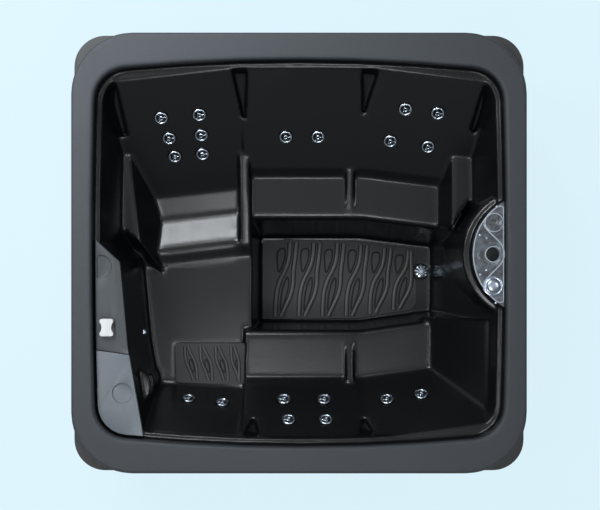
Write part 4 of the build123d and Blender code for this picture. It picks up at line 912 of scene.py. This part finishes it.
work = bmesh.new()
spun(work, GRILLE, GRILLE_STEPS, 0, centre=GRILLE_PLACE)
bmesh.ops.remove_doubles(work, verts=work.verts, dist=TINY)
bmesh.ops.recalc_face_normals(work, faces=work.faces)
slots = []
for face in work.faces:
    middle = face.calc_center_median() - Vector((*metres(*GRILLE_PLACE), 0))
    turn = (math.atan2(middle.y, middle.x) % (2 * math.pi)) / (2 * math.pi)
    slotted = SLOTTED_FROM < math.hypot(middle.x, middle.y) < SLOTTED_TO
    if slotted and int(turn * GRILLE_STEPS) % SLOT_PERIOD < SLOT_PANELS:
        slots.append(face)
bmesh.ops.delete(work, geom=slots, context="FACES")
bmesh.ops.solidify(work, geom=work.faces, thickness=GRILLE_WALL * MM)
finished(work, "suction_grille", [CHROME], "suction_cover", sharp=40)
print("grille panels opened", len(slots))

# %% [markdown]
# Both mats are moulded rubber with one pattern, again and again along the mat:
# two long ribs that lean like reeds, and leaves between them that a groove
# outlines. Each rib is a curve flattened into a low round, painted lighter than
# the mat as painted light on its top. It lies on a wider and flatter near black
# one, painted shade for the groove beside it, and each leaf's outline is a flat
# near black loop, painted shade for its groove. A line's points are given along
# the mat in millimetres, and as a share of the way across it, so that the
# pattern fits between edges that aren't parallel.

# %% The mats' pattern
REED_A = [(50, 0), (49, 0.2), (26, 0.38), (-2, 0.5), (-20, 0.66), (-25, 0.84), (-26, 1)]
REED_B = [(84, 0), (78, 0.2), (66, 0.4), (67, 0.56), (54, 0.72), (24, 0.88), (4, 1)]
LEAF = [(39, 0.45), (17, 0.56), (4, 0.72), (-1, 0.88), (4, 0.94), (22, 0.8), (38, 0.66), (44, 0.54)]
TONGUE = [(-9, 0.43), (-18, 0.25), (-16, 0.11), (4, 0.08), (26, 0.09), (24, 0.22), (8, 0.33)]
FOOT_REED_A = [(0, 0), (0, 0.3), (8, 0.52), (30, 0.8), (40, 1)]
FOOT_REED_B = [(14, 0), (26, 0.2), (48, 0.42), (58, 0.66), (59, 1)]
FOOT_LEAF = [(25, 0.36), (20, 0.5), (32, 0.7), (44, 0.8), (46, 0.62), (36, 0.44)]
# Flatness of the ribs, of the painted groove shade under them and of the leaves' painted shade outlines.
RIB_FLAT, GROOVE_SHADE_FLAT, LEAF_FLAT = 0.62, 0.09, 0.18
MAT_MARGIN = 12
WELL_MAT = {
    "start": -96.5, "pitch": 122.5, "count": 6, "height": 123, "radius": 9, "groove_shade": 4.5,
    "upper": [(-188, 52), (-68, 70), (300, 58), (585, 20)],
    "lower": [(-188, -342), (300, -338), (578, -292), (606, -262)],
    "reeds": (REED_A, REED_B), "leaves": (LEAF, TONGUE),
}
FOOT_MAT = {
    "start": -333, "pitch": -75.6, "count": 4, "height": 400, "radius": 5.5, "groove_shade": 3.5,
    "upper": [(-605, -447), (-268, -447)],
    "lower": [(-600, -632), (-270, -642)],
    "reeds": (FOOT_REED_A, FOOT_REED_B), "leaves": (FOOT_LEAF,),
}


def level_at(edge, x):
    """How far up in plan a mat's edge is, at one place along it."""
    for (x0, y0), (x1, y1) in zip(edge, edge[1:]):
        if x <= x1:
            return y0 + (y1 - y0) * (x - x0) / (x1 - x0)
    return edge[-1][1]


def on_mat(line, start, mat):
    """A line's plan points, kept a margin inside the mat's edges."""
    upper, lower = mat["upper"], mat["lower"]
    points = []
    for along, share in line:
        x = min(max(start + along, upper[0][0] + MAT_MARGIN), lower[-1][0] - 2 * MAT_MARGIN)
        high = level_at(upper, x) - MAT_MARGIN
        low = level_at(lower, x) + MAT_MARGIN
        points.append((x, high + (low - high) * share))
    return points


def repeated(lines, mat):
    """Some lines at each of a mat's repeats."""
    starts = [mat["start"] + mat["pitch"] * step for step in range(mat["count"])]
    return [on_mat(line, start, mat) for start in starts for line in lines]


# %% [markdown]
# The mats' solids are one node, so both patterns go into one piece, over a
# copy of those solids.

# %% Tread mats
work = whole("tread_mats")
for mat in (WELL_MAT, FOOT_MAT):
    height, radius, groove_shade = mat["height"], mat["radius"], mat["groove_shade"]
    reeds = repeated(mat["reeds"], mat)
    leaves = repeated(mat["leaves"], mat)
    # Painted shade: flat near black tubes under the ribs and round the leaves; the ribs on them are painted light.
    joined(work, tubes(reeds, radius + groove_shade, height, GROOVE_SHADE_FLAT), 1)
    joined(work, tubes(leaves, groove_shade, height, LEAF_FLAT, loops=True), 1)
    joined(work, tubes(reeds, radius, height, RIB_FLAT), 2)
    print("ribs", len(reeds), "leaves", len(leaves))
finished(work, "ribbed_mats", [MAT, GROOVE_SHADE, RIB_PAINTED_LIGHT], "tread_mats", fresh=False, sharp=30)

# %% [markdown]
# The filter is pleated paper between two end caps, and shows when the lid is
# lifted. A ring of many points whose every other one is drawn in makes the
# pleats, and an extrusion raises them.

# %% Filter cartridge
FILTER_PLACE = (-838, -619)
PLEATS, PLEAT_SHARE = 64, 0.78
PLEAT_LOW, PLEAT_HIGH, PLEAT_RADIUS, PLEAT_CORE = 466, 716, 60, 27
CAP_STEPS, CAP_HEIGHTS = 64, ((460, 470), (712, 722))
CAP_HOLE, CAP_RADIUS, CAP_EDGE = 26.5, 62, 1


def pleated():
    """A bmesh of a pleated ring between two heights."""
    work = bmesh.new()
    foot = Matrix.Translation(metres(*FILTER_PLACE, PLEAT_LOW))
    outer, inner = (
        bmesh.ops.create_circle(work, segments=2 * PLEATS, radius=radius * MM)["verts"]
        for radius in (PLEAT_RADIUS, PLEAT_CORE)
    )
    for vert in outer[::2]:
        vert.co *= PLEAT_SHARE
    rings = list({edge for vert in outer + inner for edge in vert.link_edges})
    bmesh.ops.bridge_loops(work, edges=rings)
    bmesh.ops.transform(work, matrix=foot, verts=work.verts)
    raised = bmesh.ops.extrude_face_region(work, geom=work.faces[:], use_keep_orig=True)["geom"]
    top = [item for item in raised if isinstance(item, bmesh.types.BMVert)]
    bmesh.ops.translate(work, vec=(0, 0, (PLEAT_HIGH - PLEAT_LOW) * MM), verts=top)
    return work


work = pleated()
for low, high in CAP_HEIGHTS:
    cap = [
        (CAP_HOLE, low), (CAP_RADIUS - CAP_EDGE, low), (CAP_RADIUS, low + CAP_EDGE),
        (CAP_RADIUS, high - CAP_EDGE), (CAP_RADIUS - CAP_EDGE, high), (CAP_HOLE, high),
    ]
    spun(work, cap, CAP_STEPS, 1, ring=True, centre=FILTER_PLACE)
finished(work, "pleated_filter", [PAPER, WHITE], "filter_cartridge", sharp=25)
print("pleats", PLEATS)

# %% [markdown]
# The motor behind the access door has cooling fins along its barrel. Each fin
# is a thin bar turned round the barrel's axis, left out where the terminal box
# stands on top and where the foot is below.

# %% Motor fins
MOTOR_MIDDLE = Vector((0.320, 0.600, 0.150))
FIN_SIZE, FIN_RADIUS, FIN_PITCH = (0.19, 0.012, 0.003), 0.082, 10
BOX_ANGLE, BOX_CLEAR = 90, 42
FOOT_ANGLE, FOOT_CLEAR = 270, 58

work = whole("pump_motor")
fins = 0
for angle in range(0, 360, FIN_PITCH):
    if abs(angle - BOX_ANGLE) < BOX_CLEAR or abs(angle - FOOT_ANGLE) < FOOT_CLEAR:
        continue
    bar = bmesh.ops.create_cube(work, size=1.0)["verts"]
    turn = Matrix.Rotation(math.radians(angle), 3, "X")
    bmesh.ops.scale(work, vec=FIN_SIZE, verts=bar)
    bmesh.ops.translate(work, vec=(0, FIN_RADIUS, 0), verts=bar)
    bmesh.ops.rotate(work, cent=(0, 0, 0), matrix=turn, verts=bar)
    bmesh.ops.translate(work, vec=MOTOR_MIDDLE, verts=bar)
    fins += 1
finished(work, "finned_motor", [PAINT], "pump_motor", fresh=False)
print("fins", fins)
